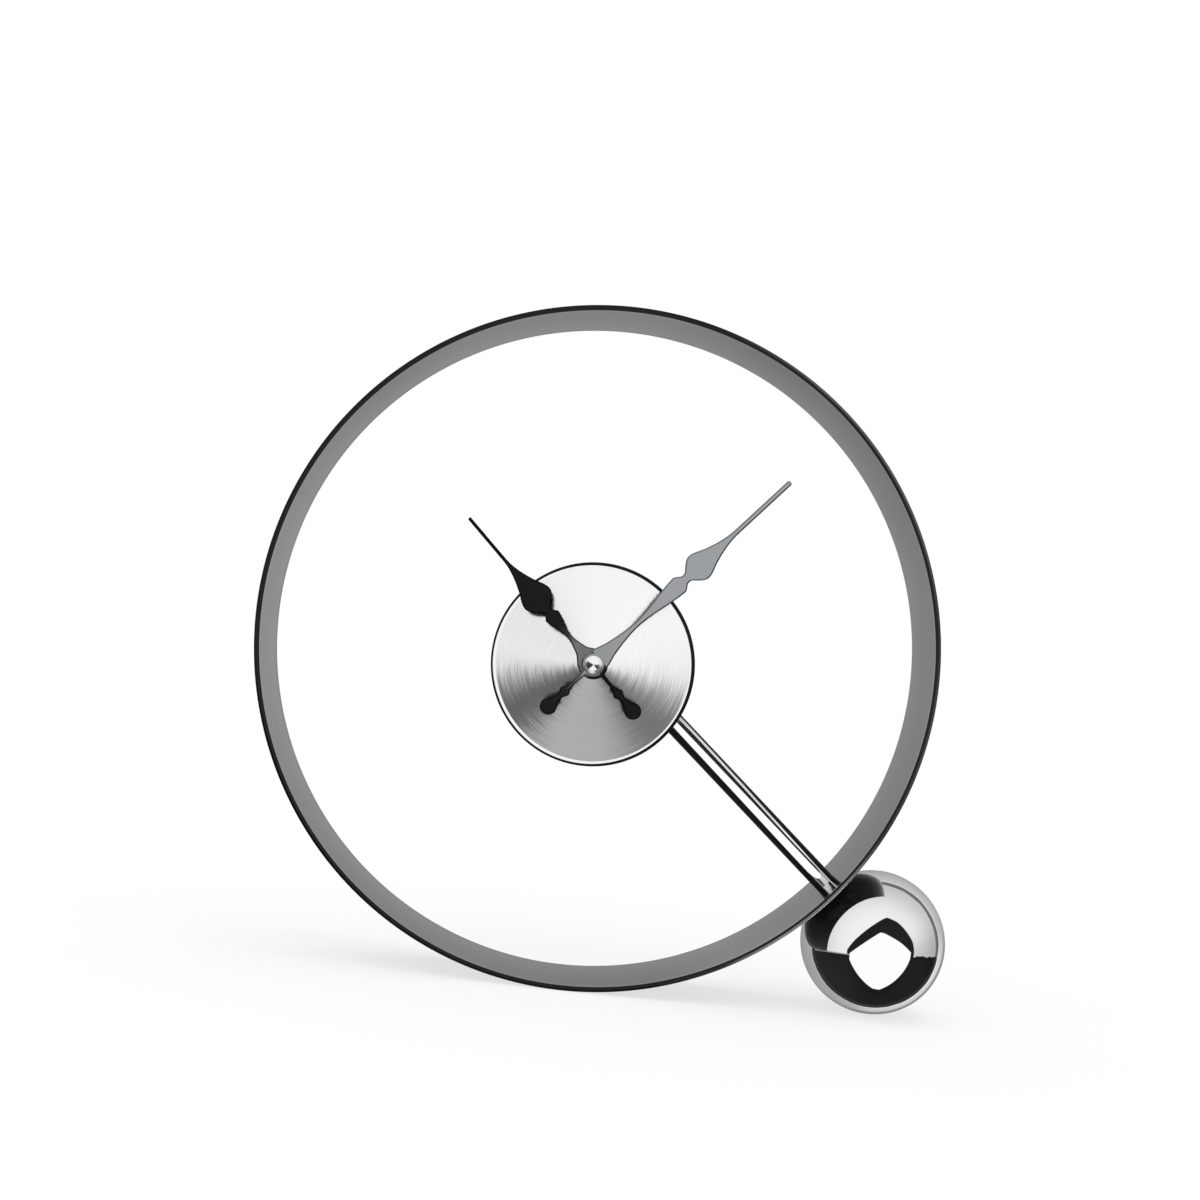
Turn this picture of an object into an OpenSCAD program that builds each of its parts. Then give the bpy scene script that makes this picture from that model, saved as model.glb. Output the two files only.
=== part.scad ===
// Open-frame table clock: a flat steel band bent to a hoop stands on the table, a polished
// ball beside it keeps it from rolling, and a tube from the ball carries the drum-shaped case
// with its hands inside the hoop. X is to the right, Y away from the viewer, Z up.
// Inside clock_frame() the axes are u to the right, v up and w towards the viewer.

/* [Hoop] */
// Outer diameter of the hoop
ring_od = 280; // [260:5:300]
// Width of the steel band, front edge to back edge
ring_w = 45; // [38:1:60]
// Thickness of the band
ring_t = 2.25; // [1.75:0.25:3.5]
// Broken edge on the band
edge_break = 0.3; // [0.1:0.1:0.5]

/* [Ball and support tube] */
// Diameter of the ball
ball_d = 60; // [52:1:70]
// Depth of the flat on the ball where it seats on the hoop
ball_flat = 0.4; // [0.2:0.1:0.8]
// Depth of the threaded hole in the ball, from its flat
ball_hole = 16; // [12:1:22]
// Outer diameter of the support tube
tube_d = 9; // [8:0.5:10]
// Distance of the tube's axis from the middle of the hoop
tube_shift = 2.5; // [2:0.25:3.5]
// Diameter of the threaded rod that clamps ball, hoop, tube and case
rod_d = 5; // [4:0.5:6]
// Clearance around the rod in the tube and in the hoop
rod_gap = 0.2; // [0.1:0.05:0.4]
// Clearance of the rod's thread in the ball and in the nuts
thread_gap = 0.05; // [0.02:0.01:0.08]

/* [Case] */
// Outer diameter of the case
case_d = 84.5; // [83:0.5:94]
// Depth of the case, front to back
case_depth = 26; // [25:0.5:32]
// Thickness of the case's side wall
case_wall = 1.2; // [0.8:0.1:1.5]
// Thickness of the case's front plate, which is the dial
dial_t = 1.5; // [1:0.1:2]
// Radius of the polished edge around the dial
rim_r = 1.1; // [0.5:0.1:1.4]
// Distance of the hands' axis to the left of the middle of the hoop
case_left = 1.1; // [0:0.1:3]
// Distance of the hands' axis below the middle of the hoop
case_drop = 6.4; // [4:0.2:9]
// Radius of the seat for the rod's nut inside the case
seat_r = 5.5; // [5:0.1:5.8]

/* [Hands] */
// Length of the minute hand from its axis to its tip
minute_len = 110; // [100:1:118]
// Length of the hour hand from its axis to its tip
hour_len = 78.7; // [72:0.5:88]
// Thickness of each hand
hand_t = 0.6; // [0.4:0.1:0.8]
// Distance of the round end of each tail from its axis
tail_len = 25.1; // [22:0.1:28]
// Radius of the round end of each tail
tail_r = 3.5; // [3:0.1:4]
// Angle of the minute hand, clockwise from straight up
minute_angle = 41; // [0:1:359]
// Angle of the hour hand, clockwise from straight up
hour_angle = 313.5; // [0:0.5:359.5]
// Gap between the hands, front to back
hand_gap = 0.8; // [0.6:0.1:1.2]
// Diameter of the cap nut that holds the hands
cap_d = 7.3; // [6:0.1:8]
// Height of the cap nut
cap_h = 3.1; // [2.6:0.1:4]

/* [Movement] */
// Side of the square movement housing
move_size = 56; // [56:0.5:57]
// Depth of the movement housing
move_depth = 16; // [16:0.25:18]
// Corner radius of the movement housing
move_corner = 4.5; // [3:0.5:6]
// Wall of the movement housing
skin = 1; // [0.8:0.1:1.2]
// Thickness of the rubber gasket behind the dial
gasket_t = 1; // [0.5:0.1:1.2]
// Thread diameter of the fixing bush
bush_d = 8; // [7.6:0.1:8.4]
// Thickness of the fixing nut in front of the dial
dial_nut_t = 2; // [1.5:0.1:2.2]
// Diameter of the hour wheel's pipe
pipe_d = 5; // [4.8:0.1:5.2]
// Diameter of the minute arbor inside the pipe
arbor_d = 3.2; // [3:0.1:3.4]
// Thread diameter in front of the minute hand
hand_thread_d = 2.8; // [2.4:0.1:2.9]
// Clearance around each turning shaft
run_gap = 0.05; // [0.03:0.01:0.08]
// Thickness of each toothed wheel
wheel_t = 0.6; // [0.5:0.05:0.7]

/* [Battery] */
// Diameter of the battery
cell_d = 14; // [13.5:0.1:14.2]
// Length of the battery without its button
cell_len = 49.2; // [48.5:0.1:49.5]
// Clearance around the battery in its bay
cell_gap = 0.3; // [0.2:0.05:0.4]

/* [Hidden] */

$fn = 96;
eps = 0.01;

// Hoop and ball: the ball's middle is as high as its radius, so that both touch the table.
ring_r = ring_od / 2;
ring_ir = ring_r - ring_t;
ball_r = ball_d / 2;
ball_dist = ring_r + ball_r - ball_flat;
tilt = asin((ring_r - ball_r) / ball_dist);
ring_x = (ring_r - ball_dist * cos(tilt) - ball_r) / 2;

// Case: where its axis lies along and across the tube's axis, from the middle of the hoop.
case_r = case_d / 2;
case_ir = case_r - case_wall;
case_along = case_drop * sin(tilt) - case_left * cos(tilt);
case_across = tube_shift + case_left * sin(tilt) + case_drop * cos(tilt);
case_front = case_depth / 2;
dial_back = case_front - dial_t;
// The nut's seat is flat and square to the tube, just clear of the case's curved wall.
seat_at = case_along + sqrt(pow(case_ir, 2) - pow(case_across + seat_r, 2)) - 0.2;
tie_washer_t = 0.8;
tie_nut_t = 2.7;
tie_end = 0.8;
tie_nut_rim = 2.1;
rod_start = seat_at - tie_washer_t - tie_nut_t - tie_end;
rod_end = ring_r + ball_hole - 2;

// Depths of the movement's parts: all are w, towards the viewer.
move_front = dial_back - gasket_t;
move_back = move_front - move_depth;
cover_in = move_front - skin;
rear_in = move_back + skin;
dial_washer_t = 0.5;
dial_nut_r = bush_d / 2 + 1.7;
gasket_rim = 9;
nut_front = case_front + dial_washer_t + dial_nut_t;
bush_front = nut_front + 0.8;
hour_hand_at = bush_front + 0.7;
pipe_front = hour_hand_at + hand_t + 0.3;
minute_hand_at = hour_hand_at + hand_t + hand_gap;
hand_washer_t = 0.4;
cap_at = minute_hand_at + hand_t + hand_washer_t;

// Motion work, from the front cover backwards.
hour_wheel_t = 0.8;
hour_wheel_at = cover_in - 0.3 - hour_wheel_t;
motion_wheel_at = hour_wheel_at - 0.4 - wheel_t;
minute_pinion_at = motion_wheel_at - 0.1;
pinion_t = wheel_t + 0.4;
centre_wheel_at = minute_pinion_at - 0.4 - wheel_t;
third_pinion_at = centre_wheel_at - 0.2;
plate_t = 1.2;
plate_at = third_pinion_at - 0.2 - plate_t;
third_wheel_at = plate_at - 0.3 - wheel_t;
fourth_pinion_at = third_wheel_at - 0.2;
stator_t = 1.2;
stator_at = plate_at - 0.7 - stator_t;
fourth_wheel_at = stator_at - 0.4 - wheel_t;
fifth_pinion_at = fourth_wheel_at - 0.2;
fifth_wheel_at = fifth_pinion_at - 1.2 - wheel_t;
rotor_pinion_at = fifth_wheel_at - 0.2;
bridge_t = 1;
bridge_at = rotor_pinion_at - 0.3 - bridge_t;

// Teeth of every wheel and pinion: [wheel, pinion].
hour_teeth = 40;
motion_teeth = [36, 10];
minute_teeth = 12;
knob_teeth = 12;
centre_teeth = 64;
third_teeth = [60, 8];
fourth_teeth = [48, 8];
fifth_teeth = [40, 8];
rotor_teeth = 8;
pressure_angle = 20;
addendum = 0.75;
dedendum = 1.15;
tooth_thinning = 0.15;

// Distances between arbors, and the directions in which the arbors lie.
motion_dist = 6;
third_dist = 7.2;
fifth_dist = 7;
rotor_dist = 4.8;
motion_dir = 150;
third_dir = 200;
train_dir = 60;
function polar(dist, dir) = [dist * cos(dir), dist * sin(dir)];
motion_pos = polar(motion_dist, motion_dir);
knob_pos = polar(2 * motion_dist, motion_dir);
third_pos = polar(third_dist, third_dir);
fifth_pos = polar(fifth_dist, train_dir);
rotor_pos = polar(fifth_dist + rotor_dist, train_dir);
pivot_r = 0.35;
stem_r = 0.5;
drive_r = 1.2;
knob_r = 7;
knob_t = 3;
knob_at = move_back - 0.8 - knob_t;
magnet_r = 2.5;
magnet_t = 1.8;
magnet_at = stator_at + stator_t / 2 - magnet_t / 2;
magnet_hub_r = 0.8;

// Frame of the movement: four pillars carry the gear plate and the bridge.
pillars = [[-12.5, -8.6], [10.5, -8.6], [10.5, 5.2], [-12.5, 13.4]];
pillar_r = 1;
plate_low = [-14, -9.9];
plate_size = [26, 25];
core_z = 21;
core_t = 1.2;
core_h = 2.4;
core_at = stator_at + stator_t;
coil_mid = [4, core_z, core_at + core_t / 2];
stator_legs = [-6, 14];
leg_w = 3;
coil_len = 15;
coil_r = 3.6;
flange_r = 4;
board_low = [13, -9.8];
board_size = [13.2, 23.8];
board_t = 1;
board_at = cover_in - 3.3;
board_posts = [[16, -7], [24, 12]];
can_r = 1;
can_len = 6;

// Battery bay, open to the back.
inner_half = move_size / 2 - skin;
bay_top = -inner_half + cell_d + 2 * cell_gap;
cell_z = -inner_half + cell_gap + cell_d / 2;
bay_floor = cover_in - 0.6;
cell_w = bay_floor - cell_gap - cell_d / 2;
strip_t = 0.4;
strip_w = 6;
contact_gap = 0.2;

module clock_frame() {
    translate([ring_x, 0, ring_r]) rotate([90, 0, 0]) children();
}

module case_frame() {
    clock_frame() translate([-case_left, -case_drop, 0]) children();
}

// The tube's own frame inside clock_frame(): z runs along the tube towards the ball.
module along_tube() {
    rotate([0, 0, -tilt]) translate([0, tube_shift, 0]) rotate([0, 90, 0]) children();
}

module disc(r, from, to) {
    translate([0, 0, from]) cylinder(r = r, h = to - from);
}

module rounded_square(half, r) {
    difference() {
        square(2 * half, center = true);
        for (sx = [-1, 1], sy = [-1, 1])
            translate([sx * half, sy * half]) difference() {
                square(2 * r, center = true);
                translate([-sx * r, -sy * r]) circle(r);
            }
    }
}

// Involute wheel outline, with tooth number 0 pointing along dir.
function involute(a) = tan(a) * 180 / PI - a;
function flank_angle(teeth, base, rad) =
    90 / teeth * (1 - tooth_thinning) + involute(pressure_angle)
    - (rad > base ? involute(acos(base / rad)) : 0);
function tooth_radii(root, base, tip) =
    let (start = max(root, base))
    concat(root < base ? [root] : [], [start, (start + tip) / 2, tip]);
function wheel_points(teeth, size, dir) =
    let (pitch = size * teeth / 2, base = pitch * cos(pressure_angle),
        radii = tooth_radii(pitch - dedendum * size, base, pitch + addendum * size),
        last = len(radii) - 1)
    [for (i = [0:teeth - 1], k = [0:2 * last + 1])
        let (up = k <= last, rad = radii[up ? k : 2 * last + 1 - k],
            a = dir + 360 / teeth * i + (up ? -1 : 1) * flank_angle(teeth, base, rad))
        [rad * cos(a), rad * sin(a)]];

module toothed(teeth, size, dir, from, t) {
    translate([0, 0, from]) linear_extrude(t) polygon(wheel_points(teeth, size, dir));
}

// Tooth size of a pair from its distance; a gap, not a tooth, points back along the line.
function tooth_size(dist, a, b) = 2 * dist / (a + b);
function gap_dir(dir, teeth) = dir + 180 / teeth;

// A hand's edge is a smooth curve through a few stations: [distance, half width, slope].
function curve_at(a, b, t) =
    let (h = b[0] - a[0], t2 = t * t, t3 = t2 * t)
    (2 * t3 - 3 * t2 + 1) * a[1] + (t3 - 2 * t2 + t) * h * a[2]
    + (3 * t2 - 2 * t3) * b[1] + (t3 - t2) * h * b[2];
curve_steps = 6;
function edge(stations) =
    [for (i = [0:len(stations) - 2], k = [0:curve_steps - 1])
        let (a = stations[i], b = stations[i + 1], t = k / curve_steps)
        [curve_at(a, b, t), a[0] + t * (b[0] - a[0])]];
function mirrored(points) =
    [for (i = [len(points) - 1:-1:0]) [-points[i][0], points[i][1]]];

module hand_blade(stations) {
    half_edge = edge(stations);
    end = stations[len(stations) - 1];
    tip = [[end[1], end[0] - end[1] / 2], [end[1] / 2, end[0]]];
    polygon(concat(half_edge, tip, mirrored(tip), mirrored(half_edge)));
}

// Tail behind the axis: a thin stem, a small collar, a neck and a round end.
tail_stem = 0.8;
tail_collar = 2.3;
module hand_tail() {
    collar_at = tail_len - 9.3;
    stations = [[0, 2.2, -0.3], [8, tail_stem, 0], [collar_at - 2.2, 1, 0.25],
        [collar_at, tail_collar, 0], [collar_at + 2.6, 1.3, 0], [tail_len - tail_r + 0.6, 2.2, 0.5]];
    rotate(180) {
        half_edge = edge(stations);
        polygon(concat(half_edge, [[1, tail_len]], mirrored(concat(half_edge, [[1, tail_len]]))));
        translate([0, tail_len]) circle(tail_r);
    }
}

module hand(stations, hub_r, hole_r, angle, at) {
    translate([0, 0, at]) rotate([0, 0, -angle]) linear_extrude(hand_t) difference() {
        union() {
            hand_blade(stations);
            hand_tail();
            circle(hub_r);
        }
        circle(hole_r);
    }
}

// Minute hand: hub, waist, collar, neck, leaf and a long straight point.
minute_hub_r = 4.9;
minute_stations = [[3, 4.8, -0.1], [10, 2.9, -0.2], [24.6, 1.1, 0], [47.8, 3.9, 0.05],
    [49.2, 3.3, -0.7], [51.6, 1.9, 0], [53.6, 2.7, 1], [58.8, 6.1, 0], [66, 3.7, -0.33],
    [80, 1.06, 0], [minute_len, 1.06, 0]];
module minute_hand() {
    color([0.6, 0.62, 0.63]) case_frame()
        hand(minute_stations, minute_hub_r, hand_thread_d / 2 + thread_gap / 2, minute_angle, minute_hand_at);
}

// Hour hand: the same parts, shorter and with a fuller leaf.
hour_hub_r = 6.1;
hour_stations = [[3, 5.6, -0.2], [8, 2.5, -0.3], [15.5, 0.95, 0], [25.9, 3.4, 0.05],
    [26.9, 2.8, -0.8], [28.6, 1.9, 0], [30.2, 3, 1.1], [35.5, 6.7, 0], [42.5, 4, -0.4],
    [56, 0.72, 0], [hour_len, 0.7, 0]];
module hour_hand() {
    color([0.1, 0.1, 0.1]) case_frame()
        hand(hour_stations, hour_hub_r, pipe_d / 2 + thread_gap / 2, hour_angle, hour_hand_at);
}

module ring() {
    color([0.45, 0.45, 0.45]) clock_frame() difference() {
        rotate_extrude($fn = 180)
            polygon([[ring_ir + edge_break, -ring_w / 2], [ring_r - edge_break, -ring_w / 2],
                [ring_r, -ring_w / 2 + edge_break], [ring_r, ring_w / 2 - edge_break],
                [ring_r - edge_break, ring_w / 2], [ring_ir + edge_break, ring_w / 2],
                [ring_ir, ring_w / 2 - edge_break], [ring_ir, -ring_w / 2 + edge_break]]);
        along_tube() disc(rod_d / 2 + rod_gap, ring_ir - 5, ring_r + 5);
    }
}

module ball() {
    color([0.75, 0.75, 0.76]) clock_frame() difference() {
        rotate([0, 0, -tilt]) translate([ball_dist, 0, 0]) sphere(ball_r);
        rotate([0, 0, -tilt]) rotate([0, 90, 0]) disc(ball_r, 0, ring_r);
        along_tube() disc(rod_d / 2 + thread_gap, 0, ring_r + ball_hole);
    }
}

// Both ends are coped: one to the case's side, the other to the inside of the hoop.
module support_tube() {
    color([0.8, 0.8, 0.81]) clock_frame() difference() {
        intersection() {
            along_tube() disc(tube_d / 2, 0, ring_r);
            cylinder(r = ring_ir, h = ring_w, center = true, $fn = 180);
        }
        translate([-case_left, -case_drop, 0]) cylinder(r = case_r, h = case_depth, center = true);
        along_tube() disc(rod_d / 2 + rod_gap, 0, ring_r);
    }
}

module tie_rod() {
    color([0.7, 0.7, 0.72]) clock_frame() along_tube() disc(rod_d / 2, rod_start, rod_end);
}

module tie_washer() {
    color([0.72, 0.72, 0.74]) clock_frame() along_tube() difference() {
        disc(rod_d / 2 + tie_nut_rim + 0.1, seat_at - tie_washer_t, seat_at);
        disc(rod_d / 2 + rod_gap, seat_at - 2 * tie_washer_t, seat_at + 1);
    }
}

module tie_nut() {
    top = seat_at - tie_washer_t;
    color([0.72, 0.72, 0.74]) clock_frame() along_tube() difference() {
        translate([0, 0, top - tie_nut_t]) cylinder(r = rod_d / 2 + tie_nut_rim, h = tie_nut_t, $fn = 6);
        disc(rod_d / 2 + thread_gap, top - 2 * tie_nut_t, top + 1);
    }
}

// Open-backed drum: its front plate is the dial, its edge is rounded, and a pad inside the
// side wall gives the rod's nut a flat seat.
module case_shell() {
    color([0.85, 0.85, 0.85]) case_frame() difference() {
        union() {
            rotate_extrude() difference() {
                translate([0, -case_front]) square([case_r, case_depth]);
                translate([0, -case_front - 1]) square([case_ir, dial_back + case_front + 1]);
                translate([case_r - rim_r, case_front - rim_r]) difference() {
                    square(rim_r + 1);
                    circle(rim_r);
                }
                translate([case_r - 0.3, -case_front - eps]) polygon([[0, 0], [1, 0], [1, 1]]);
            }
            intersection() {
                translate([case_left, case_drop, 0]) along_tube() disc(seat_r, seat_at, case_along + case_r);
                cylinder(r = case_ir + eps, h = case_depth - 2 * dial_t, center = true);
            }
        }
        translate([case_left, case_drop, 0]) along_tube()
            disc(rod_d / 2 + rod_gap, seat_at - 1, case_along + case_r + 2);
        disc(bush_d / 2 + 0.2, dial_back - 1, case_front + 1);
    }
}

module case_gasket() {
    color([0.12, 0.12, 0.12]) case_frame() difference() {
        disc(bush_d / 2 + gasket_rim, move_front, dial_back);
        disc(bush_d / 2 + 0.3, move_front - 1, dial_back + 1);
    }
}

module dial_washer() {
    color([0.8, 0.7, 0.4]) case_frame() difference() {
        disc(dial_nut_r + 0.1, case_front, case_front + dial_washer_t);
        disc(bush_d / 2 + 0.2, case_front - 1, nut_front);
    }
}

module dial_nut() {
    low = case_front + dial_washer_t;
    color([0.8, 0.7, 0.4]) case_frame() difference() {
        translate([0, 0, low]) cylinder(r = dial_nut_r, h = dial_nut_t, $fn = 6);
        disc(bush_d / 2 + thread_gap, low - 1, nut_front + 1);
    }
}

// Brass bush: a flange under the movement's front cover and a thread through the dial.
bush_flange_r = 4.9;
bush_flange_t = 0.5;
module fixing_bush() {
    color([0.82, 0.68, 0.36]) case_frame() difference() {
        union() {
            disc(bush_d / 2, cover_in, bush_front);
            disc(bush_flange_r, cover_in, cover_in + bush_flange_t);
        }
        disc(pipe_d / 2 + run_gap, cover_in - 1, bush_front + 1);
    }
}

// Front cover, with the pillars of the gear plate, the posts of the circuit board, the pin
// of the motion wheel and the blind bearing of the setting shaft.
module movement_front() {
    color([0.88, 0.88, 0.86]) case_frame() difference() {
        union() {
            translate([0, 0, cover_in]) linear_extrude(skin)
                rounded_square(move_size / 2, move_corner);
            for (p = pillars)
                translate(p) disc(pillar_r, plate_at + plate_t, cover_in + eps);
            for (p = board_posts)
                translate(p) disc(pillar_r, board_at + board_t, cover_in + eps);
            translate(motion_pos) disc(stem_r, motion_wheel_at - 0.2, cover_in + eps);
        }
        disc(bush_flange_r + thread_gap, cover_in - 1, cover_in + bush_flange_t);
        disc(bush_d / 2 + thread_gap, cover_in - 1, move_front + 1);
        translate(knob_pos) disc(stem_r + run_gap, cover_in - 1, cover_in + 0.6);
    }
}

// Rear half: the gear room is open to the front, the battery bay to the back.
module movement_rear() {
    divider = bay_top + skin;
    color([0.88, 0.88, 0.86]) case_frame() difference() {
        translate([0, 0, move_back]) linear_extrude(cover_in - move_back)
            rounded_square(move_size / 2, move_corner);
        translate([-inner_half, divider, rear_in])
            cube([2 * inner_half, inner_half - divider, move_depth]);
        translate([-inner_half, -inner_half, move_back - 1])
            cube([2 * inner_half, bay_top + inner_half, bay_floor - move_back + 1]);
        for (side = [-1, 1])
            translate([side * (inner_half - strip_t) - strip_t, bay_top - 1, cell_w - strip_w / 2 - 0.1])
                cube([2 * strip_t, skin + 2, strip_w + 0.2]);
        translate(knob_pos) disc(drive_r + run_gap, move_back - 1, rear_in + 1);
    }
}

module gear_plate() {
    color([0.35, 0.36, 0.38]) case_frame() difference() {
        union() {
            translate([plate_low[0], plate_low[1], plate_at]) cube([plate_size[0], plate_size[1], plate_t]);
            for (p = pillars)
                translate(p) disc(pillar_r, bridge_at + bridge_t, plate_at + eps);
        }
        disc(drive_r + run_gap, plate_at + plate_t / 2, plate_at + plate_t + 1);
        disc(pivot_r + run_gap, plate_at - 1, plate_at + plate_t);
        for (p = [fifth_pos, rotor_pos])
            translate(p) disc(pivot_r + run_gap, plate_at - 1, plate_at + plate_t + 1);
        translate(third_pos) disc(stem_r + run_gap, plate_at - 1, plate_at + plate_t + 1);
        translate(knob_pos) disc(drive_r + 0.3, plate_at - 1, plate_at + plate_t + 1);
    }
}

module train_bridge() {
    color([0.35, 0.36, 0.38]) case_frame() difference() {
        translate([plate_low[0], plate_low[1], bridge_at]) cube([plate_size[0], plate_size[1], bridge_t]);
        for (p = [[0, 0], third_pos, fifth_pos, rotor_pos])
            translate(p) disc(pivot_r + run_gap, bridge_at - 1, bridge_at + bridge_t + 1);
        translate(knob_pos) disc(drive_r + 0.3, bridge_at - 1, bridge_at + bridge_t + 1);
    }
}

// Soft-iron stator: a ring around the rotor and two legs up to the coil's core.
module stator() {
    leg_low = rotor_pos[1] - leg_w / 2;
    color([0.6, 0.6, 0.62]) case_frame() translate([0, 0, stator_at]) linear_extrude(stator_t)
        difference() {
            union() {
                translate(rotor_pos) circle(magnet_r + 1.6);
                translate([stator_legs[0] - leg_w / 2, leg_low])
                    square([stator_legs[1] - stator_legs[0] + leg_w, leg_w]);
                for (x = stator_legs)
                    translate([x - leg_w / 2, leg_low]) square([leg_w, core_z + core_h / 2 - leg_low]);
            }
            translate(rotor_pos) {
                circle(magnet_r + 0.4);
                for (a = [30, 210]) rotate(a) translate([magnet_r + 0.4, 0]) circle(0.4, $fn = 32);
            }
        }
}

module coil_core() {
    span = stator_legs[1] - stator_legs[0] + leg_w;
    color([0.6, 0.6, 0.62]) case_frame()
        translate([stator_legs[0] - leg_w / 2, core_z - core_h / 2, core_at]) cube([span, core_h, core_t]);
}

module coil_place() {
    case_frame() translate(coil_mid) rotate([0, 90, 0]) children();
}

module coil_bobbin() {
    wall = 0.4;
    color([0.15, 0.15, 0.16]) coil_place() difference() {
        union() {
            disc(coil_barrel_r, -coil_len / 2, coil_len / 2);
            for (side = [-1, 1])
                translate([0, 0, side * (coil_len - 0.8) / 2]) cylinder(r = flange_r, h = 0.8, center = true);
        }
        cube([core_t + 2 * thread_gap, core_h + 2 * thread_gap, coil_len + 2], center = true);
    }
}
coil_barrel_r = 1.8;

// The winding is one spiral groove deep: its turns show as shallow ribs.
module coil_winding() {
    room = coil_len / 2 - 0.85;
    turns = 16;
    pitch = 2 * room / turns;
    color([0.75, 0.4, 0.2]) coil_place() rotate_extrude() difference() {
        translate([coil_barrel_r + thread_gap, -room]) square([coil_r - coil_barrel_r - thread_gap, 2 * room]);
        for (k = [0:turns]) translate([coil_r + 0.25, -room + k * pitch]) circle(0.45, $fn = 24);
    }
}

module circuit_board() {
    color([0.1, 0.35, 0.2]) case_frame()
        translate([board_low[0], board_low[1], board_at]) cube([board_size[0], board_size[1], board_t]);
}

module quartz_crystal() {
    color([0.8, 0.8, 0.82]) case_frame()
        translate([board_low[0] + 9, -5, board_at - can_r - thread_gap]) rotate([-90, 0, 0]) union() {
            cylinder(r = can_r, h = can_len);
            disc(can_r - 0.2, -0.4, 0);
        }
}

// Drop of black epoxy over the chip, on the back of the board.
module clock_chip() {
    drop_r = 4;
    drop_h = 1;
    color([0.08, 0.08, 0.08]) case_frame() translate([board_low[0] + 6, 7, board_at]) difference() {
        translate([0, 0, drop_r - drop_h]) sphere(drop_r);
        cylinder(r = 2 * drop_r, h = 2 * drop_r);
    }
}

// Contact strips stand against the bay's end walls and reach up through the divider. Each has
// a pressed boss that meets the battery's end.
button_h = 1.1;
button_r = 2.7;
boss_h = inner_half - strip_t - contact_gap - (cell_len + button_h) / 2;
module contact_strip(side) {
    translate([side * (inner_half - strip_t / 2) - strip_t / 2, -inner_half + 2, cell_w - strip_w / 2])
        cube([strip_t, board_low[1] + inner_half + 1, strip_w]);
    translate([side * (inner_half - strip_t + eps), cell_z, cell_w]) rotate([0, -side * 90, 0])
        cylinder(r1 = 2.9, r2 = 2, h = boss_h + eps);
}

module positive_contact() {
    color([0.85, 0.72, 0.4]) case_frame() union() contact_strip(1);
}

// A bar along the divider takes the negative strip across to the circuit board.
bar_w = 2;
module negative_contact() {
    color([0.8, 0.8, 0.8]) case_frame() union() {
        contact_strip(-1);
        translate([-inner_half, bay_top + skin + 0.2, board_at - bar_w])
            cube([2 * inner_half - 10, strip_t, bar_w + board_t / 2]);
    }
}

module battery() {
    color([0.25, 0.28, 0.3]) case_frame()
        translate([-(cell_len + button_h) / 2, cell_z, cell_w]) rotate([0, 90, 0]) union() {
            cylinder(d = cell_d, h = cell_len);
            disc(button_r, cell_len - eps, cell_len + button_h);
        }
}

module hour_wheel() {
    size = tooth_size(motion_dist, hour_teeth, motion_teeth[1]);
    color([0.85, 0.85, 0.82]) case_frame() difference() {
        union() {
            toothed(hour_teeth, size, motion_dir, hour_wheel_at, hour_wheel_t);
            disc(pipe_d / 2, hour_wheel_at, pipe_front);
        }
        disc(arbor_d / 2 + run_gap, hour_wheel_at - 1, pipe_front + 1);
    }
}

module motion_wheel() {
    wheel_size = tooth_size(motion_dist, motion_teeth[0], minute_teeth);
    pinion_size = tooth_size(motion_dist, hour_teeth, motion_teeth[1]);
    back = motion_dir + 180;
    color([0.85, 0.85, 0.82]) case_frame() translate(motion_pos) difference() {
        union() {
            toothed(motion_teeth[0], wheel_size, back, motion_wheel_at, wheel_t);
            toothed(motion_teeth[1], pinion_size, gap_dir(back, motion_teeth[1]),
                motion_wheel_at + wheel_t - eps, cover_in - 0.2 - motion_wheel_at - wheel_t);
        }
        disc(stem_r + run_gap, motion_wheel_at - 1, cover_in);
    }
}

module minute_arbor() {
    size = tooth_size(motion_dist, motion_teeth[0], minute_teeth);
    top = minute_pinion_at + pinion_t - 0.2;
    color([0.8, 0.7, 0.45]) case_frame() union() {
        disc(drive_r, plate_at + plate_t / 2 + 0.05, minute_pinion_at + eps);
        toothed(minute_teeth, size, gap_dir(motion_dir, minute_teeth), minute_pinion_at, top - minute_pinion_at);
        disc(arbor_d / 2, top - eps, minute_hand_at);
        disc(hand_thread_d / 2, minute_hand_at - eps, cap_at + 2);
    }
}

module hand_washer() {
    color([0.75, 0.75, 0.76]) case_frame() difference() {
        disc(4.2, minute_hand_at + hand_t, cap_at);
        disc(hand_thread_d / 2 + thread_gap, minute_hand_at, cap_at + 1);
    }
}

// Cap nut: a short cylinder with a low cone, tapped from the back.
module cap_nut() {
    rim = 1.1;
    color([0.9, 0.9, 0.9]) case_frame() translate([0, 0, cap_at]) difference() {
        rotate_extrude() polygon([[0, 0], [cap_d / 2, 0], [cap_d / 2, rim], [0.2, cap_h], [0, cap_h]]);
        disc(hand_thread_d / 2 + thread_gap, -1, 2.1);
    }
}

// Knurled knob, its shaft through the rear wall and the pinion that turns the motion wheel.
module setting_knob() {
    size = tooth_size(motion_dist, motion_teeth[0], knob_teeth);
    grooves = 24;
    low = motion_wheel_at - 0.2;
    color([0.2, 0.2, 0.21]) case_frame() translate(knob_pos) difference() {
        union() {
            disc(knob_r, knob_at, knob_at + knob_t);
            disc(drive_r, knob_at + knob_t - eps, low + eps);
            toothed(knob_teeth, size, gap_dir(motion_dir + 180, knob_teeth), low, pinion_t);
            disc(stem_r, low + pinion_t - eps, cover_in + 0.5);
        }
        for (k = [0:grooves - 1]) rotate([0, 0, 360 / grooves * k])
            translate([knob_r + 0.3, 0, knob_at - 1]) cylinder(r = 0.6, h = knob_t + 2, $fn = 24);
    }
}

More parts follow.
